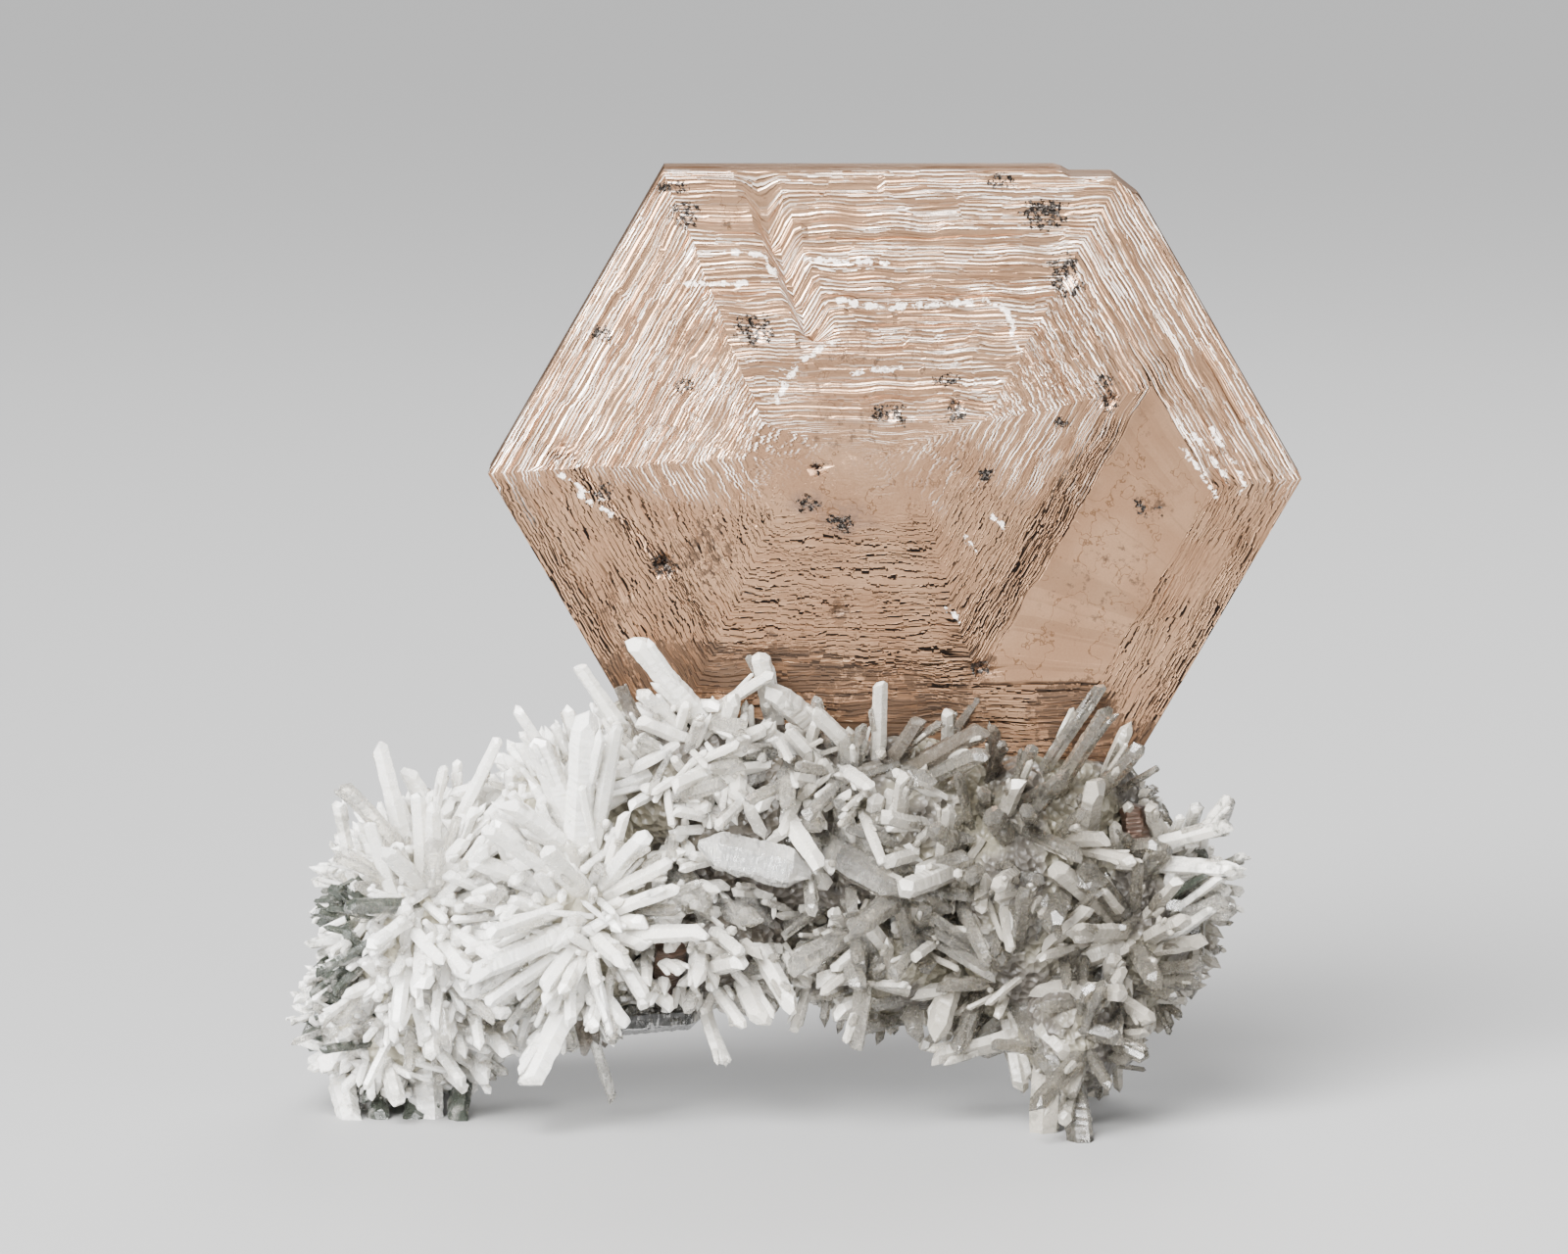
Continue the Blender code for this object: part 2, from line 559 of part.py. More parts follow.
def pyrrhotite_plate(shown, helpers, finish):
    """The hexagonal plate, stepped to a low summit on both of its faces."""
    bm = bmesh.new()
    front = bm.faces.new([bm.verts.new(c) for c in hexagon(RIM_DISTANCES, -RIM_HALF_THICKNESS)])
    grown = bmesh.ops.extrude_face_region(bm, geom=[front])["geom"]
    back = next(g for g in grown if isinstance(g, bmesh.types.BMFace))
    for corner in back.verts:
        corner.co.y = RIM_HALF_THICKNESS
    raise_terraces(bm, front, -1, FRONT_TERRACES, True)
    raise_terraces(bm, back, 1, BACK_TERRACES, False)
    plate = object_from(bm, "pyrrhotite_crystal", shown, finish)
    cut_by(plate, plate_cutters(helpers))
    return plate


def plate_pocket(collection):
    """The space that the plate takes in the cluster, with the gap round it."""
    bm = bmesh.new()
    outer = [d + GAP for d in RIM_DISTANCES]
    inner = [d + GAP for d in SUMMIT_DISTANCES]
    for distances, depth in (
        (inner, -SUMMIT_HALF_THICKNESS - GAP),
        (outer, -RIM_HALF_THICKNESS - 2 * GAP),
        (outer, RIM_HALF_THICKNESS + 2 * GAP),
        (inner, SUMMIT_HALF_THICKNESS + GAP),
    ):
        for corner in hexagon(distances, depth):
            bm.verts.new(corner)
    bmesh.ops.convex_hull(bm, input=bm.verts)
    return object_from(bm, "plate_pocket", collection)


def held_crystal(row, grown, name, collection, finish=None):
    """A stout crystal pointed at both ends, or the pocket for it when it is grown by the gap."""
    _, _, first, last, width, flatness, pointed = row
    ends = []
    for x, up, stand_out in (first, last):
        depth = front_of_core(x, height_of(up, -10.0)) - stand_out
        ends.append(Vector((x, depth, height_of(up, depth))))
    axis = ends[1] - ends[0]
    middle = (ends[0] + ends[1]) / 2
    length = axis.length + 2 * grown
    point_length = width * pointed
    radius = width / 2 + grown
    place = Matrix.Translation(middle) @ axis.to_track_quat("Z", "Y").to_matrix().to_4x4()
    place = place @ Matrix.Diagonal((1, flatness, 1, 1))
    bm = bmesh.new()
    shaft = length - 2 * point_length
    made = bmesh.ops.create_cone(
        bm, cap_ends=True, segments=6, radius1=radius, radius2=radius, depth=shaft, matrix=place
    )
    caps = [f for f in {f for v in made["verts"] for f in v.link_faces} if len(f.verts) == 6]
    for cap in caps:
        way = 1 if along(cap, middle, axis) > 0 else -1
        poked = bmesh.ops.poke(bm, faces=[cap])
        poked["verts"][0].co = middle + axis.normalized() * way * length / 2
    return object_from(bm, name, collection, finish)


def every_prism():
    """Root, tip and width of each prism of the cluster."""
    rows = LEFT_SPRAY + MIDDLE_LEFT_SPRAY + CROSSING_PRISMS + UPPER_SPRAY + RIGHT_SPRAY
    prisms = [placed_prism(row) for row in rows] + filler_prisms()
    for (foot_x, foot_y), root, width in FEET:
        prisms.append((Vector(root), Vector((foot_x, foot_y, -width)), width))
    return prisms


def quartz_cluster(shown, helpers, finish, pockets):
    """The core with every prism joined to it, less the pockets of the other crystals and the ground."""
    joined = bpy.data.collections.new("joined")
    helpers.children.link(joined)
    joined.hide_render = True
    source = random.Random(FILLER_SEED + 1)
    for number, lump in enumerate(LUMPS):
        bm = bmesh.new()
        add_lump(bm, lump, source)
        if number:
            object_from(bm, f"lump_{number}", joined)
        else:
            cluster = object_from(bm, "quartz_cluster", shown, finish)
    for number, (root, tip, width) in enumerate(every_prism()):
        bm = bmesh.new()
        point, roll = source.uniform(*POINT_LENGTHS), source.uniform(0, math.pi / 3)
        add_prism(bm, root, tip, width, point, roll)
        object_from(bm, f"prism_{number}", joined)
    union = cluster.modifiers.new("grown_together", "BOOLEAN")
    union.operation = "UNION"
    union.operand_type = "COLLECTION"
    union.collection = joined
    cut_by(cluster, pockets)
    return cluster


def keep_largest_piece(obj):
    """Applies the modifiers, and drops any tip that a pocket has cut off."""
    graph = bpy.context.evaluated_depsgraph_get()
    mesh = bpy.data.meshes.new_from_object(obj.evaluated_get(graph))
    obj.modifiers.clear()
    obj.data = mesh
    bm = bmesh.new()
    bm.from_mesh(mesh)
    left = set(bm.verts)
    pieces = []
    while left:
        reached = {left.pop()}
        edge = list(reached)
        while edge:
            for e in edge.pop().link_edges:
                for v in e.verts:
                    if v in left:
                        left.discard(v)
                        reached.add(v)
                        edge.append(v)
        pieces.append(reached)
    pieces.sort(key=len)
    for piece in pieces[:-1]:
        bmesh.ops.delete(bm, geom=list(piece), context="VERTS")
    bm.to_mesh(mesh)
    bm.free()


def stand_over_origin(shown):
    """Moves the specimen and its cutters so that the middle of its box is over the origin."""
    corners = [v.co for obj in shown.objects for v in obj.data.vertices]
    middle = [(min(c[i] for c in corners) + max(c[i] for c in corners)) / 2 for i in (0, 1)]
    for obj in bpy.data.objects:
        obj.location = (-middle[0], -middle[1], 0)


def ground_cutter(collection):
    """Everything under the surface that the specimen stands on."""
    bm = bmesh.new()
    block = 200
    bmesh.ops.create_cube(bm, size=block, matrix=Matrix.Translation((0, 0, -block / 2)))
    return object_from(bm, "ground", collection)


def main():
    clear_scene()
    shown = new_collection("pyrrhotite_specimen", True)
    helpers = new_collection("cutters", False)
    finishes = {name: material(name) for name in MATERIALS}
    pyrrhotite_plate(shown, helpers, finishes["pyrrhotite"])
    pockets = [plate_pocket(helpers), ground_cutter(helpers)]
    for row in HELD_CRYSTALS:
        held_crystal(row, 0, row[0], shown, finishes[row[1]])
        pockets.append(held_crystal(row, GAP, row[0] + "_pocket", helpers))
    cluster = quartz_cluster(shown, helpers, finishes["milky_quartz"], pockets)
    bpy.context.view_layer.update()
    keep_largest_piece(cluster)
    stand_over_origin(shown)


if __name__ == "__main__":
    main()
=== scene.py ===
"""A pyrrhotite specimen for Blender: one stepped hexagonal crystal standing in an arch of quartz prisms.

Places are read in millimetres in the frame of the part's source: X to the right, Y away from the
front, Z up from the ground. Heights called `up` are those that the front view shows.
"""

import math
import random

import bmesh
import bpy
import numpy as np
from mathutils import Matrix, Vector, noise


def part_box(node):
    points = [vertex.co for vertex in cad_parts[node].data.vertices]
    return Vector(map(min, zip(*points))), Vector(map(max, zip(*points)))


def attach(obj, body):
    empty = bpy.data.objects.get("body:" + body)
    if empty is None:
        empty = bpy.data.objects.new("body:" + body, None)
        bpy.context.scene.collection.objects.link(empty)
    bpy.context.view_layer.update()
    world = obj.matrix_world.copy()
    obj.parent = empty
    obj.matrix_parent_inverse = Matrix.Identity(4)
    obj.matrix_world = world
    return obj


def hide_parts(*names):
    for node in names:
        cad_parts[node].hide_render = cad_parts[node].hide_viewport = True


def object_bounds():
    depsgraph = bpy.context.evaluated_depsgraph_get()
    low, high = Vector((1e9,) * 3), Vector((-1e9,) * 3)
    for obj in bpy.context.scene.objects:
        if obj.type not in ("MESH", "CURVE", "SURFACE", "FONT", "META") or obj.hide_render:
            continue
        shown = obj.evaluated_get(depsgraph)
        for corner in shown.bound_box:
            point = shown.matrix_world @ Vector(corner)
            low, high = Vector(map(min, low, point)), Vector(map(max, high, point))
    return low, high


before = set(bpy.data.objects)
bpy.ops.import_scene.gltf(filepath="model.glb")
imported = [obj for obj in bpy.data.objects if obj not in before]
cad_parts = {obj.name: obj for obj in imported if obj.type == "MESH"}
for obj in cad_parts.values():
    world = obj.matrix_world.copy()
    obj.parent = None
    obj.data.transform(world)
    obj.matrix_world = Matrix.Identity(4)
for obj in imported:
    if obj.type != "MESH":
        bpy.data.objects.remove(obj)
CAD_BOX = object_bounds()

bl_info = {
    "name": "Pyrrhotite on quartz",
    "version": (1, 0, 0),
    "blender": (4, 5, 0),
    "location": "View3D > Sidebar > Specimen",
    "description": "Builds a stepped pyrrhotite crystal in a cluster of quartz prisms",
    "category": "Add Mesh",
}

MILLIMETRE = 0.001
VIEW_ELEVATION = math.radians(8)
FRONT_FOOT_DEPTH = -22.0

# The pyrrhotite plate: its middle, and how far its six edges stand from there, clockwise from the top.
PLATE_MIDDLE = Vector((13, 0, 80.4))
EDGE_ANGLES = [math.radians(a) for a in (90, 30, -30, -90, -150, 150)]
RIM_DISTANCES = np.array((36.7, 42.5, 43.5, 36.7, 43, 42.6))
SUMMIT_DISTANCES = np.array((6.5, 12.5, 6, 5, 15, 17))
RIM_HALF_THICKNESS = 4.5
SUMMIT_HALF_THICKNESS = 9.5
LOWER_RIGHT = 2
SHELF_SHARE = 1 / 3
SHELF_EDGE_DISTANCE = 34.5
SHELF_INNER_DISTANCE = 22
CUT_CORNER_DISTANCE = 44.6
CUT_CORNER_ANGLE = math.radians(52)
# The top edge beside that corner lies lower: from where, and by how much.
LOW_TOP_START, LOW_TOP_DROP, LOW_TOP_BLEND = 33.2, 0.8, 0.7

# Rings of the plate's surface: points on each side, and how many layers each part of it climbs in.
SIDE_POINTS = 60
COLUMNS = 6 * SIDE_POINTS
OUTER_LAYERS = 30
SHELF_RINGS = 6
INNER_LAYERS = 62
BACK_LAYERS = 27
MIDDLE_RINGS = 12
# What the rings in the middle add to the growth coordinate, which is 1 at the summit's edge.
MIDDLE_SHARE = 0.3
RIM_RINGS = (
    (-4.5, 0), (-4.1, 0.05), (-2.6, 0), (-2.4, 0.3), (0.4, 0.25), (0.7, 0), (3, 0.1), (4.5, 0),
)
UPPER_SIDES = (0, 1, 5)
# What a layer of the rim counts for in the growth coordinate, which is 0 at the front's edge.
RIM_LAYER_SHARE = 0.02

# The valley between the plate's two hills: its line in the front view, and how steep its sides are.
VALLEY = ((-2.9, 114.6), (3, 99.5))
VALLEY_DEPTH = 4
VALLEY_SLOPE = math.tan(math.radians(60))
# The valley fades in over this height, and all shaping over this share of the climb from the edge.
VALLEY_FOOT, VALLEY_FADE = 96.5, 3.5
EDGE_FADE = 0.12
# Dents in the plate's front: line ends (across, up), half width and depth; a pit's ends are the same.
DENTS = (
    (-27.5, 85, -14, 70, 0.7, 0.3), (-15, 70.5, -15, 70.5, 1.6, 1.3), (-4, 99, -4, 99, 1.9, 1),
    (23.5, 58, 23.5, 58, 1.1, 1.1), (4, 82.3, 4, 82.3, 0.8, 0.9), (39, 90.5, 39, 90.5, 1.1, 0.8),
    (33.5, 105.5, 33.5, 105.5, 1.8, 0.7), (12.5, 89, 12.5, 89, 1.1, 0.6), (20.5, 89.5, 20.5, 89.5, 1, 0.6),
    (6.3, 65, 6.3, 65, 0.8, 0.5),
)
# Bands of close dark lines, painted shade of grooves and tight steps, as lines in the front view, with
# their half widths.
BANDS = (
    (((-37, 88), (-27, 83.5), (-22, 78), (-15, 70.5), (-9.5, 63)), 1.3),
    (((45.5, 94.5), (38, 82.5), (30, 71), (18, 53.5)), 2.2), (((41, 90), (27, 70), (17, 55.5)), 2.2),
    (((-34, 79), (-26, 66), (-20, 56)), 3), (((-10, 60.5), (0, 59), (18, 58), (21, 60)), 1.4),
    (((56, 72), (46, 54)), 2.5),
)
# Ragged ledges with painted highlights, near white as if they caught the light, as lines in the front view.
GLINT_HALF_WIDTH = 0.9
GLINTS = (
    ((-1.3, 90.4), (1, 94.7), (3.4, 96.3), (5.4, 97.5)),
    ((5.8, 102.7), (11, 101.7), (14.6, 101.9), (24.3, 102.5), (26.7, 101.4), (27.9, 96.6)),
    ((8, 93.8), (14, 94.4)), ((-8, 108.5), (-3, 108.2), (-1, 105)), ((2, 107.5), (12, 107.2)),
    ((-13, 104.5), (-5, 104.6)), ((49.3, 86.5), (54.8, 79.4)), ((48, 85), (52.5, 78.5)),
    ((51.5, 87), (56, 80.5)), ((24.9, 76.6), (26.2, 75.2)), ((21.8, 73.8), (23, 72.4)),
    ((19.6, 65.2), (20.8, 63.8)), ((-27.5, 81.5), (-22.5, 78.5)), ((-25, 79), (-21.5, 76.8)),
)
# Brown stains on the plate's front: across, up, half sizes, and how strong.
STAINS = (
    (-12, 58, 9, 3, 1.5), (-2, 57.5, 9, 3, 1.6), (9, 56, 8, 2.4, 1.2), (14, 51, 9, 3.5, 1.7),
    (-20, 56, 6, 3.5, 1.3), (35, 52.5, 5, 3.5, 1.5), (41, 48.5, 6, 3.5, 1.4), (20, 54, 4, 3, 0.9),
    (-10, 72, 3.6, 3.6, 0.95), (44.5, 77.5, 2.6, 1.6, 0.9), (40, 68, 4.5, 6.5, 0.6),
    (34, 66, 3.5, 5.5, 0.55), (46, 63, 3, 5, 0.5), (23.5, 58, 2.6, 2.2, 0.95), (13, 97, 11, 4.6, 0.66),
    (6, 87, 8, 3, 0.62), (-11, 97.5, 4, 3.5, 0.62), (-14, 71, 3, 3.5, 0.7), (-22, 66, 4, 3, 0.7),
    (6.3, 65, 1.3, 1.8, 1.3), (44, 88, 2.5, 3.5, 0.5), (-7, 112.5, 1.6, 1.2, 0.8),
    (-12, 101, 4.5, 2.2, 0.6), (50, 97, 1, 1, 0.9), (-16, 81, 4, 3, 0.55), (3, 64, 10, 3, 0.45),
    (-2, 62, 4, 2, 0.65),
)
# Voids and pits, painted near black as their shade: across, up, half sizes.
SHADED_VOIDS = (
    (-15, 70.5, 1.5, 1.1), (-4, 99, 1.9, 1.7), (23.5, 58, 1, 0.9), (4, 82.3, 0.8, 0.8),
    (39, 90.5, 1.2, 1.1), (38.5, 92.8, 0.9, 0.8), (33.5, 105.8, 1.6, 2.2), (12.3, 89, 1.9, 0.9),
    (14, 88, 0.9, 0.7), (20.5, 89.3, 1.2, 1.3), (24, 81.5, 0.9, 0.8), (33.5, 87.8, 0.9, 0.7),
    (31.5, 113, 2.6, 1.6), (26, 117, 1.4, 0.8), (-12.5, 113, 1.6, 1.3), (2.4, 78, 1.3, 0.9),
    (-22.5, 98.5, 1.1, 1), (-12.5, 92.3, 1, 0.9), (-22.3, 79.5, 0.9, 1), (6.3, 75.5, 1.5, 1),
    (44, 77.5, 1.4, 0.7), (-14, 116.3, 1.6, 0.7), (19.5, 93, 1.6, 0.7), (35, 104, 1, 0.8),
)
# Grey smudges: across, up, half sizes, and how strong.
SMUDGES = ((7, 76, 2.6, 1.8, 0.8), (2.5, 78, 1.8, 1.2, 0.9), (9.5, 75, 2, 0.8, 0.6))
# Level patches that carry few lines: across, up, half sizes.
PLAIN_PATCHES = (
    (8, 80.5, 9, 4.5), (-6, 113, 4.5, 2.4), (-10, 97.5, 3.5, 2.6), (7, 112.3, 2, 1), (9, 92, 10, 6, 0.68),
    (40.5, 93, 1.6, 4),
)

# The core of the cluster, as lumps: middle x, y, z and half sizes.
LUMPS = (
    (-44, 2, 23, 12, 15, 14.5), (-26, 0, 28.5, 13, 16, 17), (-13, 0, 43, 12, 13, 11.5),
    (-4, 1, 37, 17, 14, 15), (-9, -1, 23, 12, 12, 8.5), (14, 1, 35, 18, 14, 14.5), (13, 0, 21, 12, 12, 8.5),
    (29, 0, 29, 12.5, 15, 18), (41.5, 2, 25, 10.5, 13, 13.5), (35, 1, 38, 9.5, 11, 8.5),
    (-48, 5, 11, 10, 11, 9), (35, -4, 12, 7.5, 12, 9),
)
ROOT_SINK = 3
CORE_MIDDLE_DEPTH = -2
# Where the search for a root's depth starts, and how often it is repeated.
FIRST_DEPTH = -10
DEPTH_ROUNDS = 4
# The longest point of a small crystal, as a share of its length.
LONGEST_POINT = 0.4
# Small crystals up to this length have straight sides.
SMOOTH_LENGTH = 3.5

# Prisms that the front view shows. Each row: root across and up, tip across and up, width, and how far
# the tip stands out towards the viewer from the core's front at its root.
PRISMS = (
    # The spray on the left.
    (-46, 34, -49.8, 49.2, 2.4, 1), (-45, 34, -54.4, 44, 2.6, 3), (-52.5, 30, -54.8, 42, 1.8, 1),
    (-41.5, 37, -46.9, 46.2, 2.6, 0), (-44, 36.5, -41.6, 46.4, 1.7, 1), (-42.5, 35, -34.8, 49.8, 2.4, 1),
    (-44, 30, -55.2, 35.2, 2.2, 3), (-44, 29, -53.8, 29, 2.8, 5), (-44, 29, -51, 24, 2.6, 7),
    (-43.5, 30, -49, 36.5, 2.6, 9), (-43, 30, -42.5, 37.5, 2.8, 10), (-43, 29, -36, 36.5, 2.8, 8),
    (-43, 28.5, -33.5, 31, 3, 7), (-43, 27.5, -34.4, 22.4, 2, 8), (-42, 29.5, -31.5, 34.5, 2.4, 5),
    (-43, 26, -38, 20.5, 2.6, 7), (-44, 25, -44, 19, 3, 7), (-50.3, 19.8, -57, 15, 1.8, 5),
    (-54, 18, -62, 17.2, 2, 1), (-49.5, 11, -47.4, 4.6, 2.2, 5), (-54, 12, -57.5, 8, 3.4, 1),
    (-40.5, 12, -36.4, 7, 2.8, 5), (-38, 15, -33.8, 10.8, 2.2, 7), (-40, 17, -34, 16, 2.2, 6),
    # The spray in the middle of the left.
    (-26, 33, -23.8, 53.4, 3.8, 4), (-24, 34, -20.4, 51.5, 2.6, 3), (-25, 36, -30.5, 50, 3.2, 3),
    (-25, 42, -33.1, 53.4, 2, 1), (-24.5, 44, -26.8, 53.7, 1.7, 0), (-18.5, 48, -25.3, 58.6, 2.2, 0),
    (-8.5, 49, -18.7, 61.9, 2.9, 4), (-16, 47, -20.4, 56, 1.8, 2), (-11.5, 49, -17.7, 55.4, 2, 2),
    (-24.5, 35, -34.5, 42, 3, 5), (-25, 31, -37, 38.8, 2.4, 8), (-26, 29, -36.5, 25.8, 2.4, 8),
    (-25, 27, -38.5, 20.8, 2.8, 8), (-26, 24.5, -36.5, 17.2, 2.4, 7), (-24, 30, -29, 36, 2.6, 12),
    (-23, 31, -17, 38, 2.8, 7), (-23, 30, -14.5, 34.6, 2.6, 6), (-22.5, 28, -13.6, 31.4, 2.4, 8),
    (-23, 25, -9.8, 26.2, 2.2, 7), (-23.5, 26, -19.6, 22.6, 2.4, 10), (-24, 24, -23, 19.8, 1.6, 10),
    (-25, 21, -31.6, 6.8, 4.4, 5), (-26, 14.5, -34, 10.8, 2.4, 4), (-25, 21, -19.5, 14, 2.4, 3),
    (-22.5, 19, -23.6, 14.3, 2.2, 8), (-24.5, 16, -21.4, 4.4, 2.2, -4),
    # Crossing prisms in the middle.
    (-6, 47, -14, 43.6, 2.4, 8), (-15.5, 42, -7.6, 44, 2.2, 8), (-4, 43.5, -8.4, 38.8, 2, 9),
    (-12.5, 51.8, -4.8, 50.6, 2.3, 5), (-16, 53.2, -8, 53.6, 1.8, 3), (-9.4, 53, -9.4, 43, 1.7, 3),
    (-6, 50, -6, 41.4, 2.8, 6), (-4.2, 51.6, -4, 47.6, 1.9, 5), (1, 44.6, -4.8, 42, 1.9, 9),
    (-0.2, 47, 0.1, 41.4, 2.3, 7), (-9, 52.5, -1.4, 57.6, 2.4, 3), (-1.2, 51, -3.4, 60, 2.6, 3),
    (4, 50, -2.6, 56, 3.4, 4), (9.6, 46.5, 3, 53.2, 2.2, 3), (7.5, 45, 2, 39.8, 2.2, 9),
    (6, 46, 10.2, 43.5, 2, 9), (8.8, 41.8, 11.6, 34.4, 1.5, 10), (-0.6, 40.8, 4, 34, 2.5, 8),
    (2.5, 37.5, 14, 30.2, 4, 5), (7.6, 32, 7.9, 28.6, 1.6, 10), (-15, 35, -9.2, 28.8, 3.4, 6),
    (-10, 30, -3, 27, 3.2, 4), (2.6, 34, 3, 28.6, 1.8, 8), (-10, 26.6, -5.6, 23.4, 1.8, 6),
    (-10.5, 21.5, -5.6, 22.5, 2.6, 6), (-10.6, 26, -11, 19, 2.4, 5), (-11.2, 19, -11.8, 16.6, 1.8, 10),
    (-10.5, 18, -7.8, 9.2, 1.9, 2), (-9.5, 20, -5.2, 14, 1.7, 4), (-5.5, 21, -2.8, 14.6, 3.2, 4),
    (-4.2, 25, 0.9, 16.8, 2.5, 7), (9.4, 26.6, 0.2, 21.6, 3.2, 7), (21.5, 34, 13.6, 31.2, 2.8, 10),
    (16.5, 32.4, 7.4, 26, 3, 9), (8.2, 26.4, 8.6, 22.3, 1.8, 8), (7.2, 23.4, 8.7, 19.4, 2.6, 7),
    (10, 22, 8, 11.6, 2.8, 6), (18, 15.5, 8.2, 13.6, 2, 6), (17.5, 26, 12.7, 20.6, 2.2, 8),
    (12.6, 28.4, 25.5, 20.2, 2.6, 5), (19.6, 32.6, 24.5, 22, 1.9, 5), (19.5, 25.6, 15.4, 23, 1.9, 8),
    (16, 25.5, 16.8, 29.4, 2.2, 7), (22, 36, 17.2, 38.8, 2.6, 9), (18, 38.6, 11.4, 40.2, 2.2, 7),
    (18.5, 33, 19.6, 41.4, 2, 6), (16.5, 35.5, 12, 34.6, 2.4, 4), (13.4, 38, 14.4, 45.6, 2.4, 7),
    (24.4, 41.4, 23.6, 43.1, 1.9, 11), (29.6, 39.4, 28.8, 41, 2, 11), (27, 37, 24.6, 40.6, 3, 10),
    (24.5, 40, 36, 35.2, 2, 6), (34, 36.6, 42.4, 34.4, 1.9, 6), (21.6, 32, 22.6, 33.2, 3.4, 12),
    (27.5, 33, 25.4, 31.8, 2.8, 11), (28, 22, 28.6, 31.6, 2.2, 10), (33, 30, 31.8, 27, 3.8, 9),
    (21, 22.5, 18, 12.2, 3, 5), (24, 19, 20.6, 10.6, 2.6, 3),
    # Over the arch, in front of the plate.
    (11, 46, 11.3, 56.6, 2, 2), (12, 45.5, 16.1, 52.1, 2.5, 2), (14.5, 45.2, 24.2, 50.8, 2.8, 5),
    (19, 48, 23.8, 55, 2.2, -2), (16, 44.2, 23.8, 47.8, 2.2, 7), (27.4, 41.5, 29.8, 48.9, 2.2, 4),
    (32.2, 42, 39, 53.6, 2.3, 4), (31, 45, 38.5, 56.3, 2.2, -2), (36, 41, 43.2, 48.8, 2.4, 3),
    (37.5, 42, 42, 51.6, 2, -2), (30, 40.5, 33.4, 45, 3, 5), (36.5, 38, 37.5, 44.5, 3.6, 5),
    (33, 37.5, 36, 40.6, 2.2, 9), (8.5, 45, 9, 51.4, 2.2, 1),
    # The spray on the right.
    (41.5, 31, 46.6, 36.8, 3, 0), (46.8, 36.5, 43.2, 41.9, 1.9, 0), (43, 34, 51.6, 39, 2.6, 0),
    (48.8, 36, 50.4, 41.7, 1.9, 0), (44.5, 32.6, 56, 33.3, 2.4, 0), (45, 29, 55.4, 28.4, 2.8, 0),
    (43.4, 27, 47.6, 32.6, 2.5, 5), (46, 27, 52.8, 32.8, 2, 2), (42.5, 26, 35.6, 34.8, 3, 6),
    (41.5, 26, 31.8, 34.4, 3.2, 5), (42.5, 25.2, 34.4, 26.5, 2.8, 9), (38, 24.8, 30.4, 22.8, 1.9, 7),
    (28, 19, 41.5, 18.6, 2.8, 5), (41.8, 22, 36.4, 16.5, 2.3, 8), (28.5, 18, 44.2, 10.6, 2.8, 4),
    (42, 20, 39, 12.2, 2.2, 6), (42.5, 19.5, 50.4, 19.8, 2, 4), (43, 21, 50.8, 22, 2.2, 3),
    (43.5, 23.5, 51, 25, 2.4, 3), (44, 25, 48, 27.5, 3, 10), (42.5, 24, 44.6, 20, 2.6, 10),
    (40, 18, 44.4, 15, 2.2, 3), (37.8, 12.8, 29.8, 4.8, 2.6, 8), (27.4, 18.5, 33.6, 6.6, 2.8, 6),
    (27, 16, 28.8, 6.2, 2.3, 3), (35, 8, 33.6, 3.2, 2, 7),
    # Fine prisms everywhere.
    (-40.5, 37, -40.2, 47, 1.4, 0), (-54, 21, -59.4, 19.5, 1.6, 1), (-56, 16, -62.2, 14.2, 1.4, 0),
    (-54, 14.5, -61, 11.8, 1.4, 1), (-53, 25, -59, 24.2, 1.4, 0), (-53.5, 27, -58, 28.4, 1.6, -1),
    (-52, 29, -56.4, 31.2, 1.8, -4), (-42.2, 20.5, -42.7, 14.4, 1.3, 7), (-25, 44, -28.5, 51.4, 1.5, 1),
    (-0.6, 48.8, -5.4, 48.2, 1.4, 8), (-2, 51, 0.3, 46.8, 1.4, 8), (7, 45.2, 0.9, 46.2, 1.5, 8),
    (11, 44.3, 6.8, 40.7, 1.1, 7), (3.4, 21, 0.6, 13.2, 1.6, 2), (7.4, 26, 5.6, 28.6, 1.8, 7),
    (9, 19.4, 14.4, 19.6, 1.6, 7), (22.8, 37.4, 20.6, 45.4, 1.3, 6), (12.4, 46.5, 18.8, 51.6, 1.5, 4),
    (19.6, 47, 19.6, 53, 1.8, 2), (25, 43.5, 25.3, 51.3, 1.8, 1), (24.6, 43.5, 26.4, 49.4, 1.8, 4),
    (39, 42, 45.4, 46, 1.5, 1), (6, 46, 3.4, 54.8, 1.6, 0), (47, 33.5, 54.2, 42.6, 1.7, 0),
    (50.4, 31, 51.2, 38.4, 1.6, 0), (42.4, 27, 42.4, 34.8, 1.6, 7), (42, 19.5, 47.6, 17.8, 1.7, 4),
    (36.4, 12, 39, 7.2, 1.6, 7), (33.6, 25, 34, 19, 1.5, 3), (36.4, 25, 36, 19, 1.5, 3),
    (-18, 24.2, -12.6, 21, 1.9, 6), (-14, 20.5, -17.8, 17, 1.7, 7), (38, 35.6, 45, 36.6, 2, 6),
    (44.5, 33, 40.6, 38, 1.8, 6), (45.8, 35.5, 44.2, 41.4, 2, 4), (-55, 7, -53.6, 1.4, 3.6, 3),
    (42.5, 36, 54, 39, 2.2, 5), (53.1, 38, 54.1, 41.9, 1.7, 4), (49.4, 37.6, 50.2, 41.2, 1.8, 4.4),
    (50.4, 37.5, 50.9, 33.6, 1.8, 4.4), (42.5, 34, 55.2, 33.6, 2.2, 4), (50.5, 32, 54.8, 28, 2.4, 4),
    (53.4, 33.4, 55.9, 35, 1.6, 3.6), (47, 36.4, 48, 40, 1.5, 4.6), (52, 31, 55.6, 30.6, 1.6, 3.6),
    (-50, 7, -50.4, 1.2, 3.2, 4), (-45, 7, -45.8, 0.8, 3.4, 5), (-40, 8, -40.4, 1.2, 3, 4),
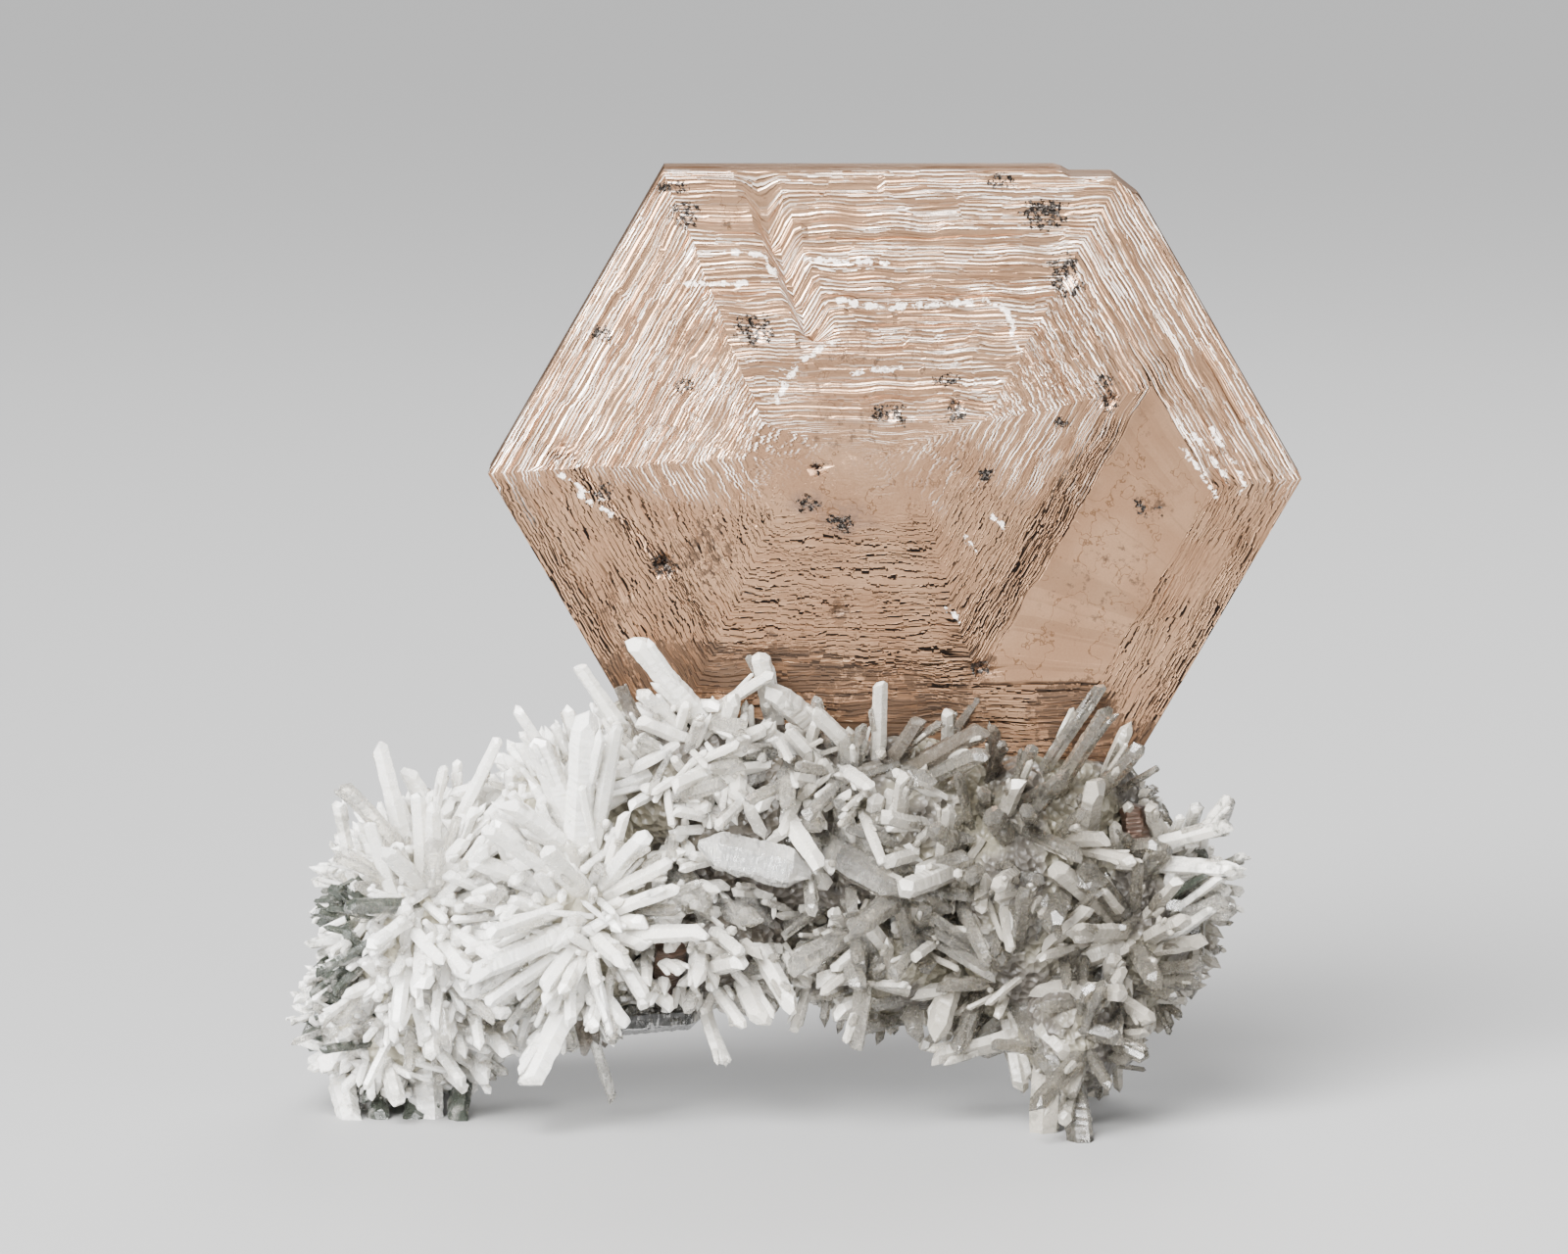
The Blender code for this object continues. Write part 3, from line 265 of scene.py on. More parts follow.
)

# Crystals of their own that the cluster holds: node name, the two ends (across, up, how far they stand
# out from the core's front), width, flatness, and the length of the points as a share of the width.
HELD_CRYSTALS = {
    "stout_clear_crystal": ((-11.5, 36.6, 3.5), (3.6, 33, 5), 7.6, 0.75, 0.45),
    "dark_clear_crystal": ((-24, 14.6, 2), (-9.6, 15.6, 2), 5.2, 0.8, 0.5),
    "small_pyrrhotite_crystal": ((42.8, 35.4, 1), (42.2, 41.6, 2), 4.2, 0.8, 0.15),
    "brown_pyrrhotite_crystal": ((-15.2, 17.6, 2.5), (-14, 24.4, 2.5), 4.6, 0.7, 0.12),
}

# Feet: where each prism meets the ground, its root in the cluster, and its width.
FEET = (
    ((36, -21), (34, -8, 12), 3.6), ((39, 15), (36, 5, 14), 4.6), ((31, -13), (32, -8, 14), 4),
    ((-53, 5), (-50, 4, 12), 5.2), ((-44, -3), (-45, 0, 12), 4.8), ((-41, 15), (-43, 8, 14), 4.8),
)

NOISE_SEED = 7
FILLER_SEED = 11
FILLER_LENGTHS = (7, 13)
FILLER_WIDTHS = (2.8, 4.4)
FILLER_SWAY = 0.45
# Fillers stand on the back and sides only; the front's prisms are in PRISMS.
FILLERS_FRONT_LIMIT = -0.3
GOLDEN_ANGLE = math.pi * (3 - math.sqrt(5))
FILLERS_PER_LUMP = (26, 22, 14, 16, 12, 16, 10, 20, 22, 10, 10, 8)
# The cluster's edge in the front view, across and up, which a filler's tip stays inside.
CLUSTER_EDGE = (
    (-57, 9), (-60, 16), (-57, 22), (-55, 28), (-54, 35), (-52, 40), (-46, 43), (-40, 44), (-35, 46),
    (-31, 50), (-26, 53), (-22, 54), (-15, 54), (-8, 55), (0, 55), (7, 51), (12, 49), (20, 49), (28, 48),
    (36, 47), (42, 44), (44, 38), (50, 36), (55, 33), (54, 27), (50, 21), (46, 17), (43, 11), (40, 7),
    (36, 3), (30, 6), (26, 10), (18, 10), (8, 12), (3, 14), (-4, 15), (-11, 16), (-18, 13), (-23, 9),
    (-30, 8), (-36, 6), (-40, 4), (-47, 3), (-54, 4),
)

# How low the tips of small and of stout crystals may be, and the slack that small ones have at the edge.
LOWEST_SMALL_TIP, LOWEST_TIP = 1.2, 2
SMALL_ACROSS_SLACK, SMALL_LOWEST_UP = 0.92, 6
# Where the plate hides small tips in the front view: least depth, half width, and the level they count at.
HIDDEN_DEPTH, HIDDEN_HALF_WIDTH, HIDDEN_LEVEL = 4, 24, 44
# Kinds of crystal that are all shorter than this are small.
SMALL_LENGTH = 5
# Places nearer to the viewer than this depth belong to the front.
FRONT_DEPTH = -3
# Small crystals by piece: what is added to the seed, lengths, widths, sway, the share that is glassy, and
# the share left out between the long prisms on the right of the front.
SMALL_CRYSTALS = {
    "quartz_needles": (2, (3.2, 7.5), (1, 1.9), 0.75, 0.3, 0.7),
    "quartz_druse": (3, (1.8, 4.6), (0.7, 1.7), 0.9, 0.25, 0.6),
}
# A front limit that leaves no side out.
ALL_ROUND = -2

# The grey on the right is partly the quartz's own and partly painted shade on the side away from the light.
# Where the quartz starts to turn grey, over how far, and where its pale right end starts: x and z.
GREY_START, GREY_BLEND = -25, 50
PALE_END = (46, 26)

# Middles of the sprays in the front view: across, up, how many thin blades, and how far they reach.
SPRAYS = (
    (-45, 28, 120, 13.5), (-25, 27.5, 120, 14.5), (-46, 15, 50, 11), (-31, 44, 36, 9), (-10, 48, 14, 8),
    (43, 24, 44, 13), (27, 20, 36, 13), (36, 12, 22, 10), (14, 20, 18, 10), (24, 36, 26, 13),
    (47, 32, 16, 9), (-50, 9, 24, 8), (6, 44, 30, 10), (10, 31, 26, 11), (-14, 44, 26, 9), (-3, 38, 24, 10),
    (0, 24, 20, 10), (-10, 22, 14, 8),
)
# The sprays left of this have finer blades that stand out further.
LEFT_SPRAYS_END = -16
# Dark hollows that small crystals keep out of: across, up, and how far round them.
HOLLOWS = (
    (-17, 38.5, 3.1), (-17.2, 34, 2.3), (-15, 21, 2.2), (-18.7, 14.3, 2.8), (-7, 35, 3.2), (-1, 33, 3.6),
    (-8, 28, 1.6), (3, 24, 1.6), (31, 17.5, 1.4),
)
# Finishes of the quartz, and the tips that have one: across, up, how far round them, and which finish.
# The third finish tints clear prisms dark: painted shade that shows through them at the plate's lower edge
# and under the arch.
WHITE, GLASSY, SHADE_TINTED, GREENISH = 0, 1, 2, 3
FINISHED_TIPS = (
    (14.7, 51.5, 2, SHADE_TINTED), (23.2, 54, 2.2, SHADE_TINTED), (25.4, 50.6, 2, SHADE_TINTED), (36.5, 56.5, 1.6, SHADE_TINTED),
    (-21, 57, 2, SHADE_TINTED), (-1.5, 57.5, 3.5, WHITE), (-55.5, 29, 3.4, GREENISH), (-57, 19, 2.2, GREENISH),
    (-58.5, 12.5, 2.4, GREENISH), (-51, 2, 2.6, GREENISH), (-43, 2, 3.6, GREENISH), (-15, 13, 2.5, SHADE_TINTED),
    (-23, 9, 3, SHADE_TINTED), (51, 33, 1, GREENISH),
)

CAMERA_DISTANCE = 1200.0
SENSOR_WIDTH = 36.0
FRAME_WIDTH = 192.0
AIM = (-0.36, 63.0)


class Wire:
    """An output of a node, so that shader maths reads as Python."""

    def __init__(self, tree, socket):
        self.tree, self.socket = tree, socket

    def maths(self, operation, *values):
        return self.tree.node("ShaderNodeMath", {"operation": operation}, dict(enumerate(values)))

    def __add__(self, other):
        return self.maths("ADD", self, other)

    def __sub__(self, other):
        return self.maths("SUBTRACT", self, other)

    def __rsub__(self, other):
        return self.maths("SUBTRACT", other, self)

    def __mul__(self, other):
        return self.maths("MULTIPLY", self, other)

    def __truediv__(self, other):
        return self.maths("DIVIDE", self, other)

    def __abs__(self):
        return self.maths("ABSOLUTE", self)

    def fraction(self):
        return self.maths("FRACT", self)

    def most(self, other):
        return self.maths("MAXIMUM", self, other)

    def between(self, low, high):
        """0 where the value is at low or beyond it, 1 at high, and smooth between."""
        settings = {"interpolation_type": "SMOOTHSTEP"}
        return self.tree.node("ShaderNodeMapRange", settings, {0: self, 1: low, 2: high})

    __radd__ = __add__
    __rmul__ = __mul__


class Tree:
    """A material's nodes."""

    def __init__(self, name, **constants):
        self.material = bpy.data.materials.new(name)
        self.material.use_nodes = True
        self.all = self.material.node_tree.nodes
        self.links = self.material.node_tree.links
        self.shader = self.all["Principled BSDF"]
        self.set(self.shader, {k.replace("_", " "): v for k, v in constants.items()})

    def set(self, node, inputs):
        for key, value in inputs.items():
            if isinstance(value, Wire):
                self.links.new(value.socket, node.inputs[key])
            else:
                node.inputs[key].default_value = value

    def node(self, kind, settings, inputs, output=0):
        made = self.all.new(kind)
        for name, value in settings.items():
            setattr(made, name, value)
        self.set(made, inputs)
        return Wire(self, made.outputs[output])

    def finish(self, **inputs):
        self.set(self.shader, {k.replace("_", " "): v for k, v in inputs.items()})
        return self.material

    def place(self):
        """The place on the object in millimetres of the source's frame."""
        coordinates = self.node("ShaderNodeTexCoord", {}, {}, "Object")
        centre = {"Vector": coordinates, "Location": -OFFSET, "Scale": (1 / MILLIMETRE,) * 3}
        return self.node("ShaderNodeMapping", {}, centre)

    def stretched(self, vector, scale):
        return self.node("ShaderNodeMapping", {}, {"Vector": vector, "Scale": scale})

    def parts(self, vector):
        split = self.all.new("ShaderNodeSeparateXYZ")
        self.set(split, {0: vector})
        return [Wire(self, output) for output in split.outputs]

    def joined(self, x, y, z):
        return self.node("ShaderNodeCombineXYZ", {}, {0: x, 1: y, 2: z})

    def uv(self, name):
        return self.node("ShaderNodeUVMap", {"uv_map": name}, {})

    def attribute(self, name):
        return self.node("ShaderNodeAttribute", {"attribute_name": name}, {}, "Fac")

    def noise(self, vector, scale, detail=2.0, roughness=0.5):
        inputs = {"Vector": vector, "Scale": scale, "Detail": detail, "Roughness": roughness}
        return self.node("ShaderNodeTexNoise", {}, inputs)

    def noise_at(self, x, y, z, detail, roughness=0.5):
        return self.noise(self.joined(x, y, z), 1.0, detail, roughness)

    def cells(self, vector, scale, output="Distance"):
        return self.node("ShaderNodeTexVoronoi", {}, {"Vector": vector, "Scale": scale}, output)

    def mix(self, share, first, second):
        """One colour over another."""
        first, second = [c if isinstance(c, Wire) else colour(c) for c in (first, second)]
        inputs = {0: share, 6: first, 7: second}
        return self.node("ShaderNodeMix", {"data_type": "RGBA"}, inputs, 2)

    def bump(self, height, distance, strength=1.0):
        inputs = {"Height": height, "Distance": distance * MILLIMETRE, "Strength": strength}
        return self.node("ShaderNodeBump", {}, inputs)


def colour(values):
    return (*values, 1.0)


def height_of(up, depth):
    """The height of a point that the front view shows at `up`, when it lies at this depth."""
    fall = (depth - FRONT_FOOT_DEPTH) * math.sin(VIEW_ELEVATION)
    return (up - fall) / math.cos(VIEW_ELEVATION)


def up_of(height, depth):
    """Where the front view shows this height, when it lies at this depth."""
    return height * math.cos(VIEW_ELEVATION) + (depth - FRONT_FOOT_DEPTH) * math.sin(VIEW_ELEVATION)


def shown_at(point):
    """Where the front view shows a point, across and up."""
    return point.x, up_of(point.z, point.y)


def random_vector(source, reach):
    return Vector([source.uniform(-reach, reach) for _ in range(3)])


def front_of_core(x, z):
    """The depth of the core's front there, or near its middle where the point is beside it."""
    depths = []
    for cx, cy, cz, rx, ry, rz in LUMPS:
        left = 1 - ((x - cx) / rx) ** 2 - ((z - cz) / rz) ** 2
        if left > 0:
            depths.append(cy - ry * math.sqrt(left))
    return min(depths, default=CORE_MIDDLE_DEPTH)


def placed_prism(row):
    """The root and tip of a prism that the front view shows."""
    root_x, root_up, tip_x, tip_up, width, reach = row
    depth = FIRST_DEPTH
    for _ in range(DEPTH_ROUNDS):
        depth = front_of_core(root_x, height_of(root_up, depth)) + ROOT_SINK
    root = Vector((root_x, depth, height_of(root_up, depth)))
    tip_depth = depth - ROOT_SINK - reach
    return root, Vector((tip_x, tip_depth, height_of(tip_up, tip_depth))), width


def inside_edge(x, up):
    """Whether the cluster's edge in the front view goes round this place."""
    inside = False
    for (x0, up0), (x1, up1) in zip(CLUSTER_EDGE, CLUSTER_EDGE[1:] + CLUSTER_EDGE[:1]):
        if (up0 > up) != (up1 > up) and x < x0 + (up - up0) / (up1 - up0) * (x1 - x0):
            inside = not inside
    return inside


def buried(point, own_lump):
    for lump in LUMPS:
        cx, cy, cz, rx, ry, rz = lump
        spread = ((point.x - cx) / rx) ** 2 + ((point.y - cy) / ry) ** 2 + ((point.z - cz) / rz) ** 2
        if lump != own_lump and spread < 0.95:
            return True
    return False


def free_tip(tip, small):
    """Whether a tip is above the ground, inside the cluster's edge and clear of the plate."""
    across, up = shown_at(tip)
    if small:
        up = max(up, SMALL_LOWEST_UP)
        if tip.y > HIDDEN_DEPTH and abs(across - PLATE_MIDDLE.x) < HIDDEN_HALF_WIDTH:
            up = min(up, HIDDEN_LEVEL)
        return tip.z > LOWEST_SMALL_TIP and inside_edge(across * SMALL_ACROSS_SLACK, up)
    near_plate = tip.z > PLATE_MIDDLE.z - RIM_DISTANCES[3] and abs(tip.y) < SUMMIT_HALF_THICKNESS
    return tip.z > LOWEST_TIP and inside_edge(across, up) and not near_plate


def grown_from_lumps(source, counts, lengths, widths, sway, front_limit):
    """Prisms that stand out all round the lumps: root, tip and width."""
    found, small = [], lengths[1] < SMALL_LENGTH
    for lump, count in zip(LUMPS, counts):
        cx, cy, cz, rx, ry, rz = lump
        for k in range(count):
            up = 1 - 2 * (k + 0.5) / count
            turn = k * GOLDEN_ANGLE + source.uniform(-0.25, 0.25)
            level = math.sqrt(1 - up * up)
            way = Vector((level * math.cos(turn), level * math.sin(turn), up))
            length = source.uniform(*lengths)
            width = source.uniform(*widths)
            swaying = random_vector(source, sway)
            start = Vector((cx + rx * way.x, cy + ry * way.y, cz + rz * way.z))
            if way.y < front_limit or buried(start, lump):
                continue
            out = (Vector((way.x / rx, way.y / ry, way.z / rz)).normalized() + swaying).normalized()
            while length > lengths[0] / 2 and not free_tip(start + out * length, small):
                length -= 1.5
            tip = start + out * length
            if free_tip(tip, small):
                found.append((start - out * ROOT_SINK, tip, width))
    return found


def foot_prisms():
    return [(Vector(root), Vector((x, y, -width)), width) for (x, y), root, width in FEET]


def plate_corners(distances):
    """The six corners, across and up, for the distances of the six edges from the plate's middle."""
    found = []
    for i in range(6):
        a, b = EDGE_ANGLES[i], EDGE_ANGLES[(i + 1) % 6]
        near, far = distances[i], distances[(i + 1) % 6]
        across = (near * math.sin(b) - far * math.sin(a)) / math.sin(b - a)
        up = (far * math.cos(a) - near * math.cos(b)) / math.sin(b - a)
        found.append((across, up))
    return found



def frame_offset():
    """What takes a place in the source's drawn frame to its place in the object's, in metres."""
    low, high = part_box("pyrrhotite_crystal")
    across = [corner[0] for corner in plate_corners(RIM_DISTANCES)]
    drawn = Vector((PLATE_MIDDLE.x + (min(across) + max(across)) / 2, 0, 0)) * MILLIMETRE
    return Vector(((low.x + high.x) / 2 - drawn.x, (low.y + high.y) / 2, 0))


OFFSET = frame_offset()


def finished_piece(bm, name, node, materials):
    """A piece from a bmesh in the drawn frame, riding on the object in place of a CAD node."""
    bm.transform(Matrix.Translation(OFFSET) @ Matrix.Scale(MILLIMETRE, 4))
    mesh = bpy.data.meshes.new(name)
    bm.to_mesh(mesh)
    bm.free()
    piece = bpy.data.objects.new(name, mesh)
    bpy.context.scene.collection.objects.link(piece)
    for material in materials:
        mesh.materials.append(material)
    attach(piece, "root")
    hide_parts(node)
    return piece


def patches(source, rows, columns, lengths, spread):
    """For each ring, values that hold for a stretch of the ring and then jump."""
    found = np.zeros((rows, columns))
    for row in found:
        start = 0
        while start < columns:
            run = int(source.integers(*lengths))
            row[start:start + run] = source.normal(0, spread)
            start += run
    return found


def layered_shares(source, layers, start, end, jog, wander):
    """How far each layer's edge has come from `start` to `end`, with jogs, for every column."""
    widths = source.lognormal(0, 0.55, layers)
    base = np.concatenate(([0], np.cumsum(widths)))[:, None] / widths.sum()
    spacing = 1 / layers
    shares = base + np.clip(patches(source, layers + 1, COLUMNS, (2, 22), 0.6), -1, 1) * spacing * jog
    broad = patches(source, layers // 6 + 2, COLUMNS, (9, 34), 0.6)
    places = np.linspace(0, len(broad) - 1.001, layers + 1)
    lower = places.astype(int)
    mixed = broad[lower] + (broad[lower + 1] - broad[lower]) * (places - lower)[:, None]
    shares += mixed * spacing * wander * np.sin(np.linspace(0, math.pi, layers + 1))[:, None]
    shares[0], shares[-1] = 0, 1
    shares = np.clip(np.maximum.accumulate(shares, axis=0), 0, 1)
    return start + (end - start) * shares


def edge_distances(share, shelf):
    """Distances of the six edges at each share of the climb; shelf is before, after or none."""
    found = RIM_DISTANCES + (SUMMIT_DISTANCES - RIM_DISTANCES) * share[..., None]
    if shelf == "before":
        drop = (SHELF_EDGE_DISTANCE - RIM_DISTANCES[LOWER_RIGHT]) * share / SHELF_SHARE
        found[..., LOWER_RIGHT] = RIM_DISTANCES[LOWER_RIGHT] + drop
    elif shelf == "after":
        inner = (share - SHELF_SHARE) / (1 - SHELF_SHARE)
        reach = SUMMIT_DISTANCES[LOWER_RIGHT] - SHELF_INNER_DISTANCE
        found[..., LOWER_RIGHT] = SHELF_INNER_DISTANCE + reach * inner
    return found


def around(distances):
    """Across and up of each column's point on the hexagon of these edge distances."""
    columns = np.arange(COLUMNS)
    side, along = columns // SIDE_POINTS, (columns % SIDE_POINTS) / SIDE_POINTS
    places = []
    for shift in (-1, 0):
        first, second = (side + shift) % 6, (side + shift + 1) % 6
        angles = np.array(EDGE_ANGLES)
        a, b = angles[first], angles[second]
        near, far = distances[columns, first], distances[columns, second]
        sine = np.sin(b - a)
        x = (near * np.sin(b) - far * np.sin(a)) / sine
        z = (far * np.cos(a) - near * np.cos(b)) / sine
        places.append(np.stack((x, z), -1))
    return places[0] + (places[1] - places[0]) * along[:, None]


def front_rings(source, settings):
    """Rings of the plate's front, from its rim to its middle: x, y, z, share and riser strength."""
    columns = np.arange(COLUMNS)
    side = columns // SIDE_POINTS
    upper = np.isin(side, UPPER_SIDES)
    riser_share = np.where(upper, settings.upper_riser_share, settings.lower_riser_share)
    rise = SUMMIT_HALF_THICKNESS - RIM_HALF_THICKNESS
    rings, depths, shares, risers = [], [], [], []

    def add(ring, depth, share, riser=None):
        rings.append(ring)
        depths.append(np.broadcast_to(depth, COLUMNS))
        shares.append(np.broadcast_to(share, COLUMNS))
        if riser is not None:
            risers.append(np.broadcast_to(riser, COLUMNS))

    def climb(layers, start, end, low, high, shelf):
        levels = layered_shares(source, layers, start, end, 0.45, 2.0)
        heights = source.lognormal(0, 0.7, layers)
        steps = np.concatenate(([0], np.cumsum(heights))) / heights.sum()
        above, below = np.append(heights, heights[-1]), np.insert(heights, 0, heights[0])
        room = np.minimum(above, below) / heights.sum()
        uneven = patches(source, layers + 1, COLUMNS, (4, 30), 0.35).clip(-0.45, 0.45)
        depth = steps[:, None] + uneven * room[:, None]
        depth[0], depth[-1] = 0, 1
        depth = low + (high - low) * depth
        strength = patches(source, layers, COLUMNS, (5, 30), 1.0)
        for k in range(layers):
            edge = levels[k] + (levels[k + 1] - levels[k]) * (1 - riser_share)
            add(around(edge_distances(edge, shelf)), depth[k], edge, 0)
            # Steps on the upper sides get a positive strength, which is painted as highlights; those on the
            # lower sides get a negative one, which is painted as shade.
            steep = np.where(upper, 1, -1) * (1.2 + strength[k])
            add(around(edge_distances(levels[k + 1], shelf)), depth[k + 1], levels[k + 1], steep)

    add(around(edge_distances(np.zeros(COLUMNS), "before")), RIM_HALF_THICKNESS, 0)
    shelf_depth = RIM_HALF_THICKNESS + rise * SHELF_SHARE
    climb(OUTER_LAYERS, 0, SHELF_SHARE, RIM_HALF_THICKNESS, shelf_depth, "before")
    outer = rings[-1]
    inner = around(edge_distances(np.full(COLUMNS, SHELF_SHARE), "after"))
    for k in range(1, SHELF_RINGS + 1):
        add(outer + (inner - outer) * k / SHELF_RINGS, shelf_depth, SHELF_SHARE, 0)
    climb(INNER_LAYERS, SHELF_SHARE, 1, shelf_depth, SUMMIT_HALF_THICKNESS, "after")
    summit = rings[-1]
    middle = summit.mean(0)
    for k in range(1, MIDDLE_RINGS + 1):
        share = 1 + MIDDLE_SHARE * k / MIDDLE_RINGS
        add(summit + (middle - summit) * k / MIDDLE_RINGS, SUMMIT_HALF_THICKNESS, share, 0)
    flat = np.array(rings)
    found = np.stack((flat[..., 0], -np.array(depths), flat[..., 1]), -1)
    return found, np.array(shares), np.array(risers)


def segment_distance(x, up, start, end):
    """How far each place is from a line in the front view."""
    (x0, up0), (x1, up1) = start, end
    length = (x1 - x0) ** 2 + (up1 - up0) ** 2
    if length == 0:
        return np.hypot(x - x0, up - up0)
    share = np.clip(((x - x0) * (x1 - x0) + (up - up0) * (up1 - up0)) / length, 0, 1)
    return np.hypot(x - x0 - share * (x1 - x0), up - up0 - share * (up1 - up0))


def shaped_front(rings, shares):
    """The front's rings with the valley between its two hills and its dents and pits."""
    x, z = rings[..., 0] + PLATE_MIDDLE.x, rings[..., 2] + PLATE_MIDDLE.z
    bent = np.clip(shares / EDGE_FADE, 0, 1)
    free = bent * np.clip((z - VALLEY_FOOT) / VALLEY_FADE, 0, 1)
    (top_x, top_up), (low_x, low_up) = VALLEY
    line = top_x + (low_x - top_x) * (top_up - z) / (top_up - low_up)
    notch = np.clip(VALLEY_DEPTH - VALLEY_SLOPE * np.abs(x - line), 0, None)
    z = z - notch * free
    depth = rings[..., 1].copy()
    up = up_of(z, rings[..., 1])
    for x0, up0, x1, up1, half_width, dent in DENTS:
        away = segment_distance(x, up, (x0, up0), (x1, up1)) / half_width
        depth += dent * np.clip(1 - away, 0, 1) * np.clip(shares / 0.05, 0, 1)
    x = x + 0.1 * bent * ripple(x, z, 5.0, 1)
    z = z + 0.16 * bent * ripple(x, z, 6.5, 2)
    return np.stack((x, depth, z), -1)


def ripple(x, z, length, seed):
    """A smooth uneven wave over the plate, about -1 to 1."""
    source = np.random.default_rng(seed)
    found = np.zeros(x.shape)
    for _ in range(6):
        turn, phase = source.uniform(0, math.tau, 2)
        pace = math.tau / length * source.uniform(0.5, 1.4)
        found += np.sin((x * math.cos(turn) + z * math.sin(turn)) * pace + phase)
    return found / 2.5


def trimmed(points):
    """The plate's points with its upper right corner broken off, and the low step beside it."""
    x, z = points[..., 0], points[..., 2]
    across, up = x - PLATE_MIDDLE.x, z - PLATE_MIDDLE.z
    beyond = across * math.cos(CUT_CORNER_ANGLE) + up * math.sin(CUT_CORNER_ANGLE) - CUT_CORNER_DISTANCE
    beyond = np.clip(beyond, 0, None)
    x = x - beyond * math.cos(CUT_CORNER_ANGLE)
    z = z - beyond * math.sin(CUT_CORNER_ANGLE)
    top = PLATE_MIDDLE.z + RIM_DISTANCES[0]
    z = np.minimum(z, top - LOW_TOP_DROP * np.clip((x - LOW_TOP_START) / LOW_TOP_BLEND, 0, 1))
    return np.stack((x, points[..., 1], z), -1)


def at_depth(flat, depth):
    """A ring's points from its places across and up."""
    return np.stack((flat[:, 0], np.full(COLUMNS, depth), flat[:, 1]), -1)


def plate_rings(settings):
    """All rings of the plate, from the middle of its back over its rim to the middle of its front."""
    source = np.random.default_rng(settings.seed)
    front, shares, risers = front_rings(source, settings)
    front = shaped_front(front, shares)
    back, back_shares, back_risers = [], [], []
    levels = layered_shares(source, BACK_LAYERS, 0, 1, 0.4, 0.8)
    rise = (SUMMIT_HALF_THICKNESS - RIM_HALF_THICKNESS) / BACK_LAYERS
    upper = np.isin(np.arange(COLUMNS) // SIDE_POINTS, UPPER_SIDES)
    for k in range(BACK_LAYERS):
        edge = levels[k] + (levels[k + 1] - levels[k]) * 0.7
        for share, step in ((edge, k), (levels[k + 1], k + 1)):
            depth = RIM_HALF_THICKNESS + step * rise
            back.append(at_depth(around(edge_distances(share, "none")), depth))
            back_shares.append(share)
        back_risers.extend((np.zeros(COLUMNS), np.where(upper, 1.0, -1.0)))
    summit = back[-1]
    for k in range(1, MIDDLE_RINGS + 1):
        back.append(summit + (summit.mean(0) - summit) * k / MIDDLE_RINGS)
        back_shares.append(np.full(COLUMNS, 1 + MIDDLE_SHARE * k / MIDDLE_RINGS))
        back_risers.append(np.zeros(COLUMNS))
    rim = []
    for depth, inset in RIM_RINGS[1:]:
        rim.append(at_depth(around(np.broadcast_to(RIM_DISTANCES - inset, (COLUMNS, 6))), depth))
    centre = np.array((PLATE_MIDDLE.x, 0, PLATE_MIDDLE.z))
    points = np.concatenate((np.array(back)[::-1] + centre, np.array(rim)[::-1] + centre, front))
    rim_zeros = np.zeros((len(rim), COLUMNS))
    rim_shares = np.repeat(-RIM_LAYER_SHARE * np.arange(len(rim), 0, -1)[:, None], COLUMNS, 1)
    shares = np.concatenate((np.array(back_shares)[::-1], rim_shares, shares))
    risers = np.concatenate((np.array(back_risers)[::-1], rim_zeros, risers))
    return trimmed(points), shares, risers, len(back) + len(rim)


def spread_of(x, up, spots):
    """The strongest of the round spots at each place, fading from their middles."""
    found = np.zeros(x.shape)
    for across, level, half_across, half_up, *strength in spots:
        away = ((x - across) / half_across) ** 2 + ((up - level) / half_up) ** 2
        found = np.maximum(found, np.clip(1.25 - 0.5 * away, 0, 1) * (strength[0] if strength else 1))
    return found


def near_lines(x, up, lines, strength):
    """How near each place is to the nearest line, from this strength at the line to 0 beside it."""
    found = np.zeros(x.shape)
    for line, half_width in lines:
        for start, end in zip(line, line[1:]):
            found = np.maximum(found, strength - segment_distance(x, up, start, end) / half_width)
    return found.clip(0, 1)


